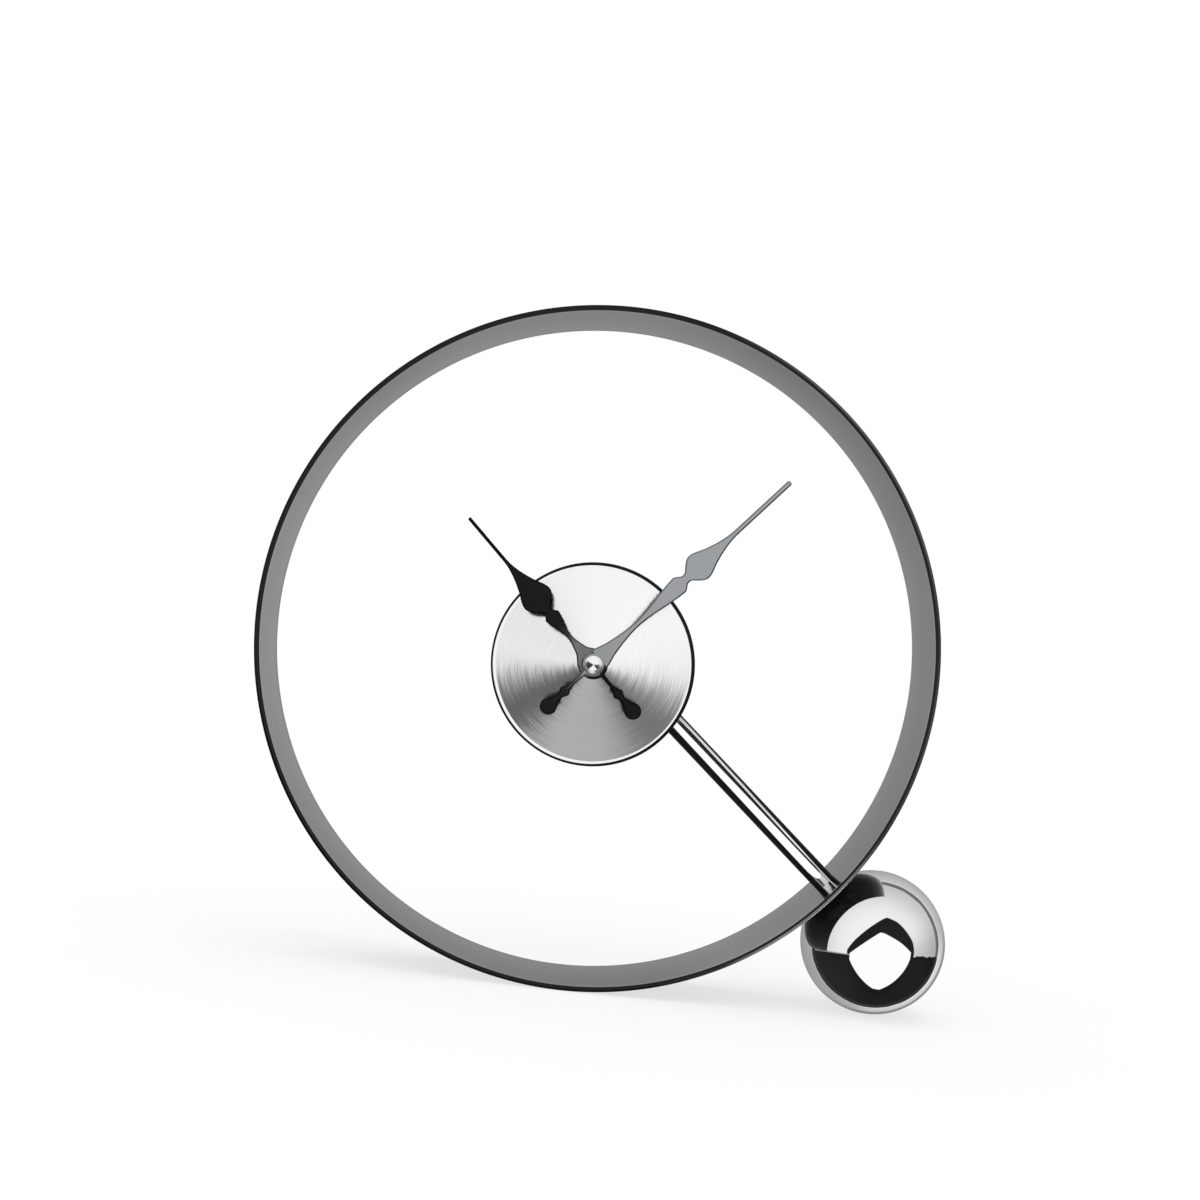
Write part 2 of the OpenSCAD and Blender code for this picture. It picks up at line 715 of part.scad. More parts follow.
// One wheel of the train on its arbor: wheel, pinion and two pivots.
module train_wheel(pos, teeth, sizes, dirs, wheel_at, pinion_at, from, to) {
    translate(pos) union() {
        toothed(teeth[0], sizes[0], dirs[0], wheel_at, wheel_t);
        toothed(teeth[1], sizes[1], dirs[1], pinion_at, pinion_t);
        disc(stem_r, min(wheel_at, pinion_at) - 0.1, max(wheel_at + wheel_t, pinion_at + pinion_t) + 0.1);
        disc(pivot_r, from, to);
    }
}

module centre_wheel() {
    size = tooth_size(third_dist, centre_teeth, third_teeth[1]);
    color([0.85, 0.85, 0.82]) case_frame() difference() {
        toothed(centre_teeth, size, third_dir, centre_wheel_at, wheel_t);
        disc(drive_r + run_gap, centre_wheel_at - 1, centre_wheel_at + wheel_t + 1);
    }
}

module third_wheel() {
    back = third_dir + 180;
    sizes = [tooth_size(third_dist, third_teeth[0], fourth_teeth[1]),
        tooth_size(third_dist, centre_teeth, third_teeth[1])];
    color([0.85, 0.85, 0.82]) case_frame() {
        train_wheel(third_pos, third_teeth, sizes, [back, gap_dir(back, third_teeth[1])],
            third_wheel_at, third_pinion_at, bridge_at, plate_at);
    }
}

module fourth_wheel() {
    sizes = [tooth_size(fifth_dist, fourth_teeth[0], fifth_teeth[1]),
        tooth_size(third_dist, third_teeth[0], fourth_teeth[1])];
    color([0.85, 0.85, 0.82]) case_frame()
        train_wheel([0, 0], fourth_teeth, sizes, [train_dir, gap_dir(third_dir, fourth_teeth[1])],
            fourth_wheel_at, fourth_pinion_at, bridge_at, plate_at + plate_t / 2 - 0.05);
}

module fifth_wheel() {
    back = train_dir + 180;
    sizes = [tooth_size(rotor_dist, fifth_teeth[0], rotor_teeth),
        tooth_size(fifth_dist, fourth_teeth[0], fifth_teeth[1])];
    color([0.85, 0.85, 0.82]) case_frame()
        train_wheel(fifth_pos, fifth_teeth, sizes, [train_dir, gap_dir(back, fifth_teeth[1])],
            fifth_wheel_at, fifth_pinion_at, bridge_at, plate_at + plate_t);
}

module rotor() {
    size = tooth_size(rotor_dist, fifth_teeth[0], rotor_teeth);
    color([0.9, 0.9, 0.88]) case_frame() translate(rotor_pos) union() {
        toothed(rotor_teeth, size, gap_dir(train_dir + 180, rotor_teeth), rotor_pinion_at, pinion_t);
        disc(magnet_hub_r, rotor_pinion_at + pinion_t - eps, magnet_at + magnet_t);
        disc(pivot_r, bridge_at, plate_at + plate_t);
    }
}

module rotor_magnet() {
    color([0.25, 0.25, 0.27]) case_frame() translate(rotor_pos) difference() {
        disc(magnet_r, magnet_at, magnet_at + magnet_t);
        disc(magnet_hub_r + eps, magnet_at - 1, magnet_at + magnet_t + 1);
    }
}

ring();
ball();
support_tube();
tie_rod();
tie_washer();
tie_nut();
case_shell();
case_gasket();
dial_washer();
dial_nut();
fixing_bush();
movement_front();
movement_rear();
gear_plate();
train_bridge();
stator();
coil_core();
coil_bobbin();
coil_winding();
circuit_board();
quartz_crystal();
clock_chip();
positive_contact();
negative_contact();
battery();
hour_wheel();
hour_hand();
minute_arbor();
minute_hand();
hand_washer();
cap_nut();
motion_wheel();
setting_knob();
centre_wheel();
third_wheel();
fourth_wheel();
fifth_wheel();
rotor();
rotor_magnet();
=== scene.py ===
"""Looks of the open-frame table clock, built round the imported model. Lengths are in metres."""
import math

import bmesh
import bpy
from mathutils import Matrix, Vector


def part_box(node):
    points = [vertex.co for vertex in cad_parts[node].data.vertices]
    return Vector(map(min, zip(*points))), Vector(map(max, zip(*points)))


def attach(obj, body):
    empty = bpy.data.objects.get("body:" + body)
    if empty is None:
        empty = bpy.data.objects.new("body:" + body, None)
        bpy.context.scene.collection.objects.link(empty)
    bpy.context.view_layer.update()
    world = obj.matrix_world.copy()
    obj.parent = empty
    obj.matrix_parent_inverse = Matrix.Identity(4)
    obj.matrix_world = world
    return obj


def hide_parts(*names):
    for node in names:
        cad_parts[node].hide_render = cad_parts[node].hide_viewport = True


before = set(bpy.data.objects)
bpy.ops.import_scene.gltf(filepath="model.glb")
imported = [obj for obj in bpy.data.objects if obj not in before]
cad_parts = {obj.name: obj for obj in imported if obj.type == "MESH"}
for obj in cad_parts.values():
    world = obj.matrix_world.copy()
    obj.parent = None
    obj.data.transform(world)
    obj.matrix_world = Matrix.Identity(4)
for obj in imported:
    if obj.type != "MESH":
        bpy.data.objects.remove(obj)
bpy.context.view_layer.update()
bpy.ops.object.select_all(action="DESELECT")
MM = 0.001

# Camera of the photograph: a little left of the clock's middle and at its mid height, tilted
# sideways by 6 degrees. The photograph is cropped, so its optical axis lies off its middle.
PHOTO_PX = 1200
photo_axis_px = (560.0, 661.7)
photo_focal_px = 1652.8
photo_place = (-0.02965, -0.69508, 0.14028)
SENSOR = 0.036
roll, pitch, yaw = (math.radians(a) for a in (6.251, -0.591, -0.45))
camera_data = bpy.data.cameras.new("photo_camera")
camera_data.sensor_width = SENSOR * 1000
camera_data.lens = photo_focal_px / PHOTO_PX * SENSOR * 1000
camera_data.shift_x = 0.5 - photo_axis_px[0] / PHOTO_PX
camera_data.shift_y = photo_axis_px[1] / PHOTO_PX - 0.5
camera_data.clip_start, camera_data.clip_end = 0.01, 100
camera = bpy.data.objects.new("photo_camera", camera_data)
bpy.context.scene.collection.objects.link(camera)
level = Matrix.Rotation(math.radians(90), 4, "X")
camera.matrix_world = (Matrix.Translation(photo_place)
                       @ Matrix.Rotation(yaw, 4, "Z") @ level
                       @ Matrix.Rotation(pitch, 4, "X") @ Matrix.Rotation(roll, 4, "Z"))
bpy.context.scene.camera = camera
bpy.context.scene.view_settings.view_transform = "Standard"


# Studio: white to the eye and to matt surfaces. Mirror-polished steel sees a white square lamp in
# front, a bright dome above, a dark floor below and a pale wall behind. All other steel sees soft
# lobes of light and dark that go round the line of sight.
def towards(azimuth, elevation):
    """Unit vector seen from the object: azimuth 0 is towards the camera side, 90 to the right."""
    a, e = math.radians(azimuth), math.radians(elevation)
    return Vector((math.sin(a) * math.cos(e), -math.cos(a) * math.cos(e), math.sin(e)))


class Socket:
    """A shader socket that can stand in a sum: each operator adds one Math node."""

    def __init__(self, tree, out):
        self.tree, self.out = tree, out

    def math(self, operation, *values):
        return add(self.tree, "ShaderNodeMath", {"operation": operation}, dict(enumerate(values)))

    def __add__(self, other):
        return self.math("ADD", self, other)

    def __sub__(self, other):
        return self.math("SUBTRACT", self, other)

    def __rsub__(self, other):
        return self.math("SUBTRACT", other, self)

    def __mul__(self, other):
        return self.math("MULTIPLY", self, other)

    def __truediv__(self, other):
        return self.math("DIVIDE", self, other)

    __radd__, __rmul__ = __add__, __mul__

    def step(self, at, soft):
        """Rises from 0 to 1 over the width soft, with its middle at the value at."""
        return add(self.tree, "ShaderNodeMapRange", {"interpolation_type": "SMOOTHSTEP"},
                   {"Value": self, "From Min": at - soft / 2, "From Max": at + soft / 2})


def add(tree, kind, settings=None, inputs=None, output=0):
    """Adds one node: its settings first, then its sockets' values or links."""
    node = tree.nodes.new(kind)
    for key, value in (settings or {}).items():
        if key == "stops":
            ramp = node.color_ramp.elements
            while len(ramp) < len(value):
                ramp.new(0.5)
            for element, (position, shade) in zip(ramp, value):
                element.position = position
                element.color = shade if isinstance(shade, tuple) else (shade, shade, shade, 1)
        else:
            setattr(node, key, value)
    for key, value in (inputs or {}).items():
        if isinstance(value, Socket):
            tree.links.new(value.out, node.inputs[key])
        else:
            node.inputs[key].default_value = value
    return Socket(tree, node.outputs[output]) if node.outputs else None


world = bpy.data.worlds.new("studio")
bpy.context.scene.world = world
world.use_nodes = True
room = world.node_tree
room.nodes.clear()
look = add(room, "ShaderNodeTexCoord")


def facing(normal):
    """How far the direction looked in points along a vector, as a cosine."""
    return add(room, "ShaderNodeVectorMath", {"operation": "DOT_PRODUCT"},
               {0: look, 1: tuple(normal)}, "Value")


def inside(corners, soft):
    """1 within the flat panel whose corners, seen from the object, go round clockwise."""
    middle = sum(corners, Vector()) / len(corners)
    mask = None
    for a, b in zip(corners, corners[1:] + corners[:1]):
        normal = a.cross(b).normalized()
        if normal.dot(middle) < 0:
            normal.negate()
        edge = facing(normal).step(0, soft)
        mask = edge if mask is None else mask * edge
    return mask


def blend(factor, low, high):
    """A tone between low, at factor 0, and high, at 1."""
    return add(room, "ShaderNodeMix", {"data_type": "FLOAT"}, {0: factor, 2: low, 3: high})


def around(tones):
    """A tone by clock angle round the line of sight: pairs of degrees from 6 o'clock and a tone."""
    return add(room, "ShaderNodeValToRGB", {"stops": [(at / 360, tone) for at, tone in tones]},
               {"Fac": clock_angle})


lamp_corners = [towards(*spot) for spot in ((0, 24.4), (6.1, 24.1), (35, 9.8), (52.5, -3.4), (52.8, -12.2),
                                            (28.9, -67.6), (5.6, -68.7), (-46.1, -23.7), (-45.1, -14.1))]
tent_corners = [towards(*spot) for spot in ((9, 47.5), (15.6, 48.7), (34.5, 40.7), (40.5, 34.9), (55.9, 10),
                                            (58.5, -3), (58, -30), (-50, -30), (-50, -10), (-41.2, 4.4))]
ahead = facing((0, -1, 0))
rise = facing((0, 0, 1))
side = facing((1, 0, 0))
clock_angle = side.math("ARCTAN2", side, rise) / math.tau + 0.5
cloud = add(room, "ShaderNodeTexNoise", {}, {"Vector": look, "Scale": 0.8, "Detail": 0.0})
lamp = inside(lamp_corners, 0.015)
tent = inside(tent_corners, 0.02)
above = facing((-0.069, 0, 1))
ragged = add(room, "ShaderNodeTexNoise", {}, {"Vector": look, "Scale": 6, "Detail": 1.0}) - 0.5
DOME_FROM, SKIRTING_FROM, WALL_FROM, SEAM_FROM = -0.223, -0.25, 0.515, 0.368
dome = (above + 0.10 * ragged * side.step(0.65, 0.2)).step(DOME_FROM, 0.015)
back_wall = facing((0.055, 1, -0.042)) + 0.06 * ragged
behind = back_wall.step(WALL_FROM, 0.03)
seam = back_wall.step(SEAM_FROM, 0.02) * (1 - behind)
skirting = above.step(SKIRTING_FROM, 0.01) * (1 - dome) * (1 - side.step(-0.35, 0.1))
slant = (side + rise) * 0.7
wall = add(room, "ShaderNodeValToRGB", {"stops": [(0.51, 0.78), (0.58, 0.60), (0.80, 0.53), (1.0, 0.42)]},
           {"Fac": back_wall}) * (0.80 + 0.20 * slant)
low_right = around([(0, 0.3), (15, 0), (265, 0), (290, 1), (345, 1), (360, 0.3)])
wall = wall * (1 + low_right * (0.45 - 0.80 * back_wall.step(0.76, 0.12)))
dome_fall = add(room, "ShaderNodeValToRGB",
                {"stops": [(0.36, 0.59), (0.43, 0.62), (0.50, 0.68), (0.585, 0.75), (0.69, 0.84),
                           (0.855, 0.92)]}, {"Fac": ahead * 0.5 + 0.5})
right_end = side.step(0.75, 0.5) * (1 - rise.step(0.2, 0.6))
shaded = inside(tent_corners, 0.4) * side.step(0.25, 0.4)
dome_tone = dome_fall * (1 - 0.28 * right_end) * (1 - 0.5 * shaded) * (1.05 - 0.10 * cloud)
DARK, SKIRTING, LAMP, SEAM_BELOW, SEAM_ABOVE = 0.009, 0.30, 1.04, 0.035, 0.16
dark_tone = DARK * (0.4 + 2.4 * cloud)
front_room = blend(dome * (1 - tent), dark_tone, dome_tone) + skirting * SKIRTING
front_room = blend(lamp, front_room, LAMP)
sharp_room = blend(behind, blend(seam, front_room, blend(dome, SEAM_BELOW, SEAM_ABOVE)), wall)

# The soft lobes, from the sides to the middle of the front: the sloping nut sees cone_tones and the
# brushed dial dial_tones. The back has lobes of its own.
side_tones = [(0, 0.80), (22, 0.60), (34, 0.30), (72, 0.22), (98, 0.34), (112, 0.85), (180, 0.95),
              (262, 0.80), (286, 0.22), (334, 0.18), (348, 0.55), (360, 0.80)]
cone_tones = [(0, 0.97), (36, 0.95), (44, 0.04), (85, 0.05), (112, 0.10), (120, 0.90), (180, 0.97),
              (255, 0.95), (268, 0.25), (290, 0.07), (312, 0.04), (322, 0.95), (360, 0.97)]
between_tones = [(0, 0.60), (60, 0.45), (110, 0.75), (150, 0.92), (210, 0.92), (250, 0.70), (300, 0.34),
                 (360, 0.60)]
dial_tones = [(0, 0.43), (20, 0.46), (30, 0.38), (37, 0.15), (46, 0.06), (57, 0.065), (66, 0.15),
              (73, 0.40), (80, 0.82), (88, 0.96), (100, 0.88), (115, 0.83), (144, 0.88), (162, 0.95),
              (180, 0.98), (240, 1.0), (272, 0.98), (280, 0.72), (288, 0.36), (298, 0.14), (310, 0.13),
              (320, 0.17), (330, 0.32), (340, 0.43), (360, 0.43)]
behind_tones = [(0, 0.36), (60, 0.20), (110, 0.50), (150, 0.80), (180, 0.90), (210, 0.80), (250, 0.50),
                (275, 0.35), (290, 0.20), (330, 0.16), (348, 0.30), (360, 0.36)]
MIDDLE_TONE, BACK_TONE = 0.97, 0.40
soft_room = around(side_tones)
for reach, soft, tones in ((0.39, 0.04, cone_tones), (0.637, 0.03, between_tones), (0.79, 0.03, dial_tones)):
    soft_room = blend(ahead.step(reach, soft), soft_room, around(tones))
soft_room = blend(ahead.step(0.974, 0.01), soft_room, MIDDLE_TONE)
soft_back = blend((ahead * -1).step(0.84, 0.12), around(behind_tones), BACK_TONE)
soft_room = blend((ahead * -1).step(0.25, 0.5), soft_room, soft_back)

rays = room.nodes.new("ShaderNodeLightPath").outputs
seen = {key: Socket(room, rays[key]) for key in ("Is Camera Ray", "Is Glossy Ray", "Is Singular Ray")}
glossy = blend(seen["Is Singular Ray"], soft_room, sharp_room)
AMBIENT = 0.5
tone = blend(seen["Is Camera Ray"], blend(seen["Is Glossy Ray"], AMBIENT, glossy), 1.0)
background = add(room, "ShaderNodeBackground", {}, {"Color": tone})
add(room, "ShaderNodeOutputWorld", {}, {"Surface": background})

# One broad lamp overhead gives matt surfaces their shading. Steel doesn't mirror it.
key_data = bpy.data.lights.new("key_lamp", "SUN")
key_data.energy = 1.2
key_data.angle = math.radians(80)
key_lamp = bpy.data.objects.new("key_lamp", key_data)
key_lamp.rotation_euler = (math.radians(14), math.radians(-8), 0)
key_lamp.visible_glossy = False
bpy.context.scene.collection.objects.link(key_lamp)

# Floor: a white sheet that keeps a faint share of the clock's shadow.
bpy.ops.mesh.primitive_circle_add(vertices=64, radius=12, fill_type="NGON", location=(0, 0, 0))
floor = bpy.context.object
floor.name = "floor"
floor.visible_glossy = False
sheet = bpy.data.materials.new("white_sheet")
sheet.use_nodes = True
sheet.node_tree.nodes.clear()
matt_white = add(sheet.node_tree, "ShaderNodeBsdfDiffuse", {}, {"Color": (0.4, 0.4, 0.4, 1)})
glow = add(sheet.node_tree, "ShaderNodeEmission", {}, {"Color": (0.66, 0.66, 0.66, 1)})
paper = add(sheet.node_tree, "ShaderNodeAddShader", {}, {0: matt_white, 1: glow})
add(sheet.node_tree, "ShaderNodeOutputMaterial", {}, {"Surface": paper})
floor.data.materials.append(sheet)


# Hoop: a flat steel band rolled to a circle and welded, brushed along its length inside and out. Its
# inside carries painted shade and reflection, lighter and darker round the hoop and towards its front.
# Its two rounded edges are blackened, with painted highlights on the front edge, brightest beside the
# ball. Its outer side is painted black only where a mirror, such as the ball, sees it: a painted reflection.
class Finish:
    """A material while it is made: a Principled surface, and the pattern's own coordinates."""

    def __init__(self, name, middle=(0, 0, 0), **values):
        self.material = bpy.data.materials.new(name)
        self.material.use_nodes = True
        self.tree = self.material.node_tree
        self.surface = self.tree.nodes["Principled BSDF"]
        for key, value in values.items():
            self.set(key.replace("_", " "), value)
        spot = add(self.tree, "ShaderNodeTexCoord", {}, {}, "Object")
        self.spot = add(self.tree, "ShaderNodeMapping", {"vector_type": "POINT"},
                        {"Vector": spot, "Location": tuple(-c for c in middle)})
        self.x, self.y, self.z = (self.add("ShaderNodeSeparateXYZ", {}, {0: self.spot}, n) for n in range(3))

    def add(self, kind, settings=None, inputs=None, output=0):
        return add(self.tree, kind, settings, inputs, output)

    def set(self, socket, value):
        if isinstance(value, Socket):
            self.tree.links.new(value.out, self.surface.inputs[socket])
        else:
            self.surface.inputs[socket].default_value = value

    def vector(self, x, y, z):
        return self.add("ShaderNodeCombineXYZ", {}, {0: x, 1: y, 2: z})

    def vectors(self, operation, inputs, output=0):
        return self.add("ShaderNodeVectorMath", {"operation": operation}, inputs, output)

    def distance(self, way):
        """How far a point of the piece lies along a direction."""
        return self.vectors("DOT_PRODUCT", {0: self.spot, 1: tuple(way)}, "Value")

    def noise(self, where, scale, detail=2.0, rough=0.5):
        return self.add("ShaderNodeTexNoise", {},
                        {"Vector": where, "Scale": scale, "Detail": detail, "Roughness": rough})

    def shade(self, factor, low, high):
        """Colour between low, at factor 0, and high, at 1."""
        return self.add("ShaderNodeMix", {"data_type": "RGBA"},
                        {0: factor, 6: low if isinstance(low, Socket) else (*low, 1),
                         7: high if isinstance(high, Socket) else (*high, 1)}, 2)

    def relief(self, height, depth):
        """Bump from a height of 0 to 1 over a real depth."""
        self.set("Normal", self.add("ShaderNodeBump", {}, {"Strength": 1.0, "Distance": depth,
                                                           "Height": height}))


def grey(value):
    return (value, value, value)


def only(piece):
    """Leaves one object selected and active."""
    bpy.ops.object.select_all(action="DESELECT")
    piece.select_set(True)
    bpy.context.view_layer.objects.active = piece


def pick(kind, test):
    """Selects the faces or edges of the piece in edit mode whose middle passes the test."""
    bpy.ops.mesh.select_mode(type=kind)
    bpy.ops.mesh.select_all(action="DESELECT")
    mesh = bmesh.from_edit_mesh(bpy.context.object.data)
    for part in mesh.faces if kind == "FACE" else mesh.edges:
        if kind == "FACE":
            part.select_set(test(part.calc_center_median(), part.normal))
        else:
            ends = [v.co for v in part.verts]
            part.select_set(test((ends[0] + ends[1]) / 2, ends[1] - ends[0]))
    mesh.select_flush_mode()
    bmesh.update_edit_mesh(bpy.context.object.data)


def cut(piece, tool, operation="DIFFERENCE"):
    """Cuts the piece with another solid, which is used up."""
    only(piece)
    modifier = piece.modifiers.new("cut", "BOOLEAN")
    modifier.object, modifier.operation, modifier.solver = tool, operation, "EXACT"
    bpy.ops.object.modifier_apply(modifier=modifier.name)
    bpy.data.objects.remove(tool)


def rod(start, end, radius, sides=96, turned=0):
    """A round bar, or one with six sides, between two points, turned about its length in degrees."""
    run = end - start
    aim = run.to_track_quat("Z", "Y").to_matrix() @ Matrix.Rotation(math.radians(turned), 3, "Z")
    bpy.ops.object.select_all(action="DESELECT")
    bpy.ops.mesh.primitive_cylinder_add(vertices=sides, radius=radius, depth=run.length,
                                        location=(start + end) / 2,
                                        rotation=aim.to_euler())
    bpy.ops.object.transform_apply(location=True, rotation=True, scale=True)
    return bpy.context.object


def settle(piece, name, body, finish, slot, *nodes, angle=35):
    """Finishes a piece: place applied, smooth, named, riding on its body, in its nodes' stead."""
    only(piece)
    bpy.ops.object.transform_apply(location=True, rotation=True, scale=True)
    bpy.ops.object.shade_smooth_by_angle(angle=math.radians(angle))
    piece.name = piece.data.name = name
    if finish:
        piece.data.materials.clear()
        piece.data.materials.append(finish.material)
    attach(piece, body)
    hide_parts(*nodes)


low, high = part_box("ring")
hoop_mid = (low + high) / 2
hoop_r, hoop_half = (high.x - low.x) / 2, (high.y - low.y) / 2
hoop_t, hoop_round = 2.25 * MM, 0.55 * MM
SKIN, LIP, RIM, GLINT_OUT, GLINT_IN = 0.35 * MM, 2.4 * MM, 0.33 * MM, 1.05 * MM, 0.6 * MM
BORE_R, ROD_SHIFT = 2.7 * MM, 2.5 * MM
band = Finish("satin_hoop", hoop_mid)
turn = band.x.math("ARCTAN2", band.x, band.z)
out_from_middle = band.x.math("SQRT", band.x * band.x + band.z * band.z)
outer = out_from_middle.step(hoop_r - hoop_t + SKIN, 0.2 * MM)
to_front = band.y * -1
cloud = band.noise(band.spot, 30, 3)
grain = band.noise(band.vector(turn * 3, band.y * 9000, 0), 1, 3, 0.6)


def round_hoop(tones):
    """A tone by place round the hoop: pairs of degrees from the foot, clockwise, and a tone."""
    return band.add("ShaderNodeValToRGB", {"stops": [(at / 360, tone) for at, tone in tones]},
                    {"Fac": turn / math.tau + 0.5})


# Painted shade and reflection: the inside is lighter and darker round the hoop, and lighter towards the front
# edge.
inner_tone_and_painted_shade = round_hoop([(0, 0.35), (15, 0.395), (40, 0.42), (60, 0.465), (75, 0.54), (90, 0.55), (105, 0.54),
                         (120, 0.465), (135, 0.39), (150, 0.44), (185, 0.42), (205, 0.315), (240, 0.36),
                         (255, 0.435), (300, 0.405), (330, 0.48), (345, 0.35), (360, 0.35)])
painted_lip_light = to_front.step(hoop_half - LIP, 0.8 * MM)
inner_tone_and_painted_shade = inner_tone_and_painted_shade * (0.88 + 0.17 * to_front / hoop_half + 0.16 * painted_lip_light) * (0.94 + 0.12 * cloud)
# Painted highlights on the blackened front edge, brightest at the lower right beside the ball.
edge_glint_tone = round_hoop([(0, 0.018), (195, 0.018), (215, 0.10), (245, 0.09), (262, 0.04), (285, 0.10),
                        (298, 0.16), (307, 0.9), (322, 0.9), (332, 0.10), (345, 0.018), (360, 0.018)])
glint_band = out_from_middle.step(hoop_r - GLINT_OUT, 0.4 * MM) * to_front.step(hoop_half - GLINT_IN, 0.2 * MM)
edge_tone = band.shade(glint_band, (0.018, 0.018, 0.020), edge_glint_tone)
rims = band.y.math("ABSOLUTE", band.y).step(hoop_half - RIM, 0.1 * MM)
# Painted reflection: the outer side turns black only for rays from a mirror.
in_mirror = band.add("ShaderNodeLightPath", {}, {}, "Is Singular Ray")
outside = band.shade(in_mirror, band.shade(cloud, grey(0.48), grey(0.60)), grey(0.012))
inside_out = band.shade(outer, band.shade(inner_tone_and_painted_shade, grey(0), (1.0, 0.99, 0.985)), outside)
band.set("Base Color", band.shade(rims, inside_out, edge_tone))
band.set("Metallic", 1 - rims.math("MAXIMUM", rims * (1 - glint_band), outer * in_mirror))
band.set("Specular IOR Level", 0.05)
band.set("Roughness", 0.10 + 0.06 * grain)
band.relief(grain * (1 - rims), 0.002 * MM)
bpy.ops.mesh.primitive_plane_add(size=1, location=hoop_mid + Vector((0, 0, hoop_r - hoop_t / 2)),
                                 rotation=(0, math.radians(90), 0))
hoop = bpy.context.object
bpy.ops.object.transform_apply(location=False, rotation=True, scale=True)
hoop.scale = (1, 2 * hoop_half, hoop_t)
bpy.ops.object.transform_apply(location=True, rotation=True, scale=True)
bpy.ops.object.mode_set(mode="EDIT")
bpy.ops.mesh.select_all(action="SELECT")
bpy.ops.mesh.bevel(affect="VERTICES", offset=hoop_round, segments=5)
bpy.ops.mesh.delete(type="ONLY_FACE")
bpy.ops.mesh.select_all(action="SELECT")
bpy.ops.mesh.spin(steps=320, angle=math.tau, center=hoop_mid, axis=(0, 1, 0))
bpy.ops.mesh.select_all(action="SELECT")
bpy.ops.mesh.remove_doubles(threshold=1e-6)
bpy.ops.mesh.normals_make_consistent(inside=False)
bpy.ops.object.mode_set(mode="OBJECT")
low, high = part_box("ball")
ball_mid = (low + high) / 2
ball_r = (high.z - low.z) / 2
along = (ball_mid - hoop_mid).normalized()
across = Vector((-along.z, 0, along.x))
rod_line = hoop_mid + across * ROD_SHIFT
cut(hoop, rod(rod_line + along * (hoop_r - 8 * MM), rod_line + along * (hoop_r + 4 * MM), BORE_R, 48))
settle(hoop, "hoop", "clock_frame", band, "hoop_steel", "ring")

# Ball: solid steel turned and polished to a mirror, with a small flat where it sits on the hoop
# and a tapped hole for the rod.
TAP_R, TAP_DEEP = 2.55 * MM, 16 * MM
mirror = Finish("mirror_ball", ball_mid, Metallic=1.0, Roughness=0.0, Base_Color=(0.95, 0.945, 0.94, 1))
mirror.relief(mirror.noise(mirror.spot, 45, 1), 0.02 * MM)
bpy.ops.object.select_all(action="DESELECT")
bpy.ops.mesh.primitive_uv_sphere_add(segments=192, ring_count=96, radius=ball_r, location=ball_mid)
ball = bpy.context.object
bpy.ops.object.transform_apply(location=True, rotation=True, scale=True)
bpy.ops.object.mode_set(mode="EDIT")
bpy.ops.mesh.select_all(action="SELECT")
bpy.ops.mesh.bisect(plane_co=hoop_mid + along * (hoop_r + 0.01 * MM), plane_no=along, use_fill=True,
                    clear_inner=True, threshold=1e-7)
bpy.ops.object.mode_set(mode="OBJECT")
cut(ball, rod(rod_line + along * (hoop_r - 1 * MM), rod_line + along * (hoop_r + TAP_DEEP), TAP_R, 48))
settle(ball, "ball_polished", "clock_frame", mirror, "mirror_chrome", "ball")

# Support tube: drawn steel tube, polished. Along its front run painted reflections, a little askew to its
# length: a dark band at either edge, a thin dark line and a painted highlight line. Both ends are cut to
# the curve they meet, the case's side and the inside of the hoop, and the rod runs through its bore.
low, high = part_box("case_shell")
hub = (low + high) / 2
case_r, case_half = (high.x - low.x) / 2, (high.y - low.y) / 2
case_along = (hub - rod_line).dot(along)
case_across = (rod_line - hub).dot(across)
TUBE_R, STOCK = 4.5 * MM, 30 * MM
depth = Vector((0, 1, 0))
chrome = Finish("polished_tube", rod_line, Roughness=0.0)
draw_marks = chrome.noise(chrome.vector(chrome.x * 40, chrome.y * 400, chrome.z * 40), 1, 2)
chrome.relief(draw_marks, 0.0006 * MM)
station, offset = chrome.distance(along / MM), chrome.distance(across / MM)
NEAR, FAR, WIDEST = 44, 134, 4
passed = station - NEAR


def on_tube(stations):
    """A width in mm that changes along the tube: pairs of mm from the hoop's middle and a width."""
    stops = [((at - NEAR) / (FAR - NEAR), width / WIDEST) for at, width in stations]
    return chrome.add("ShaderNodeValToRGB", {"stops": stops}, {"Fac": passed / (FAR - NEAR)}) * WIDEST


askew = offset - 0.48 + 0.0087 * passed
line_half = on_tube([(44, 0.22), (50, 0.38), (55, 0.48), (69, 0.50), (85, 0.45), (101, 0.32), (110, 0.21),
                     (118, 0.12), (134, 0.10)])
upper_from = on_tube([(44, 3.16), (54, 3.22), (69, 3.24), (85, 3.18), (101, 3.02), (110, 2.90), (118, 2.75),
                      (124, 2.65), (134, 2.65)])
line_at, LOWER_FROM, LIGHT_UNTIL, CRISP = 1.72 + 0.0018 * passed, 1.94, 93, 0.08
line = 1 - askew.math("ABSOLUTE", (askew - line_at) / line_half).step(1, 0.2)
upper, lower = (askew - upper_from).step(0, CRISP), (askew * -1).step(LOWER_FROM, CRISP)
front = (chrome.y * -1).step(0, 0.6 * MM)
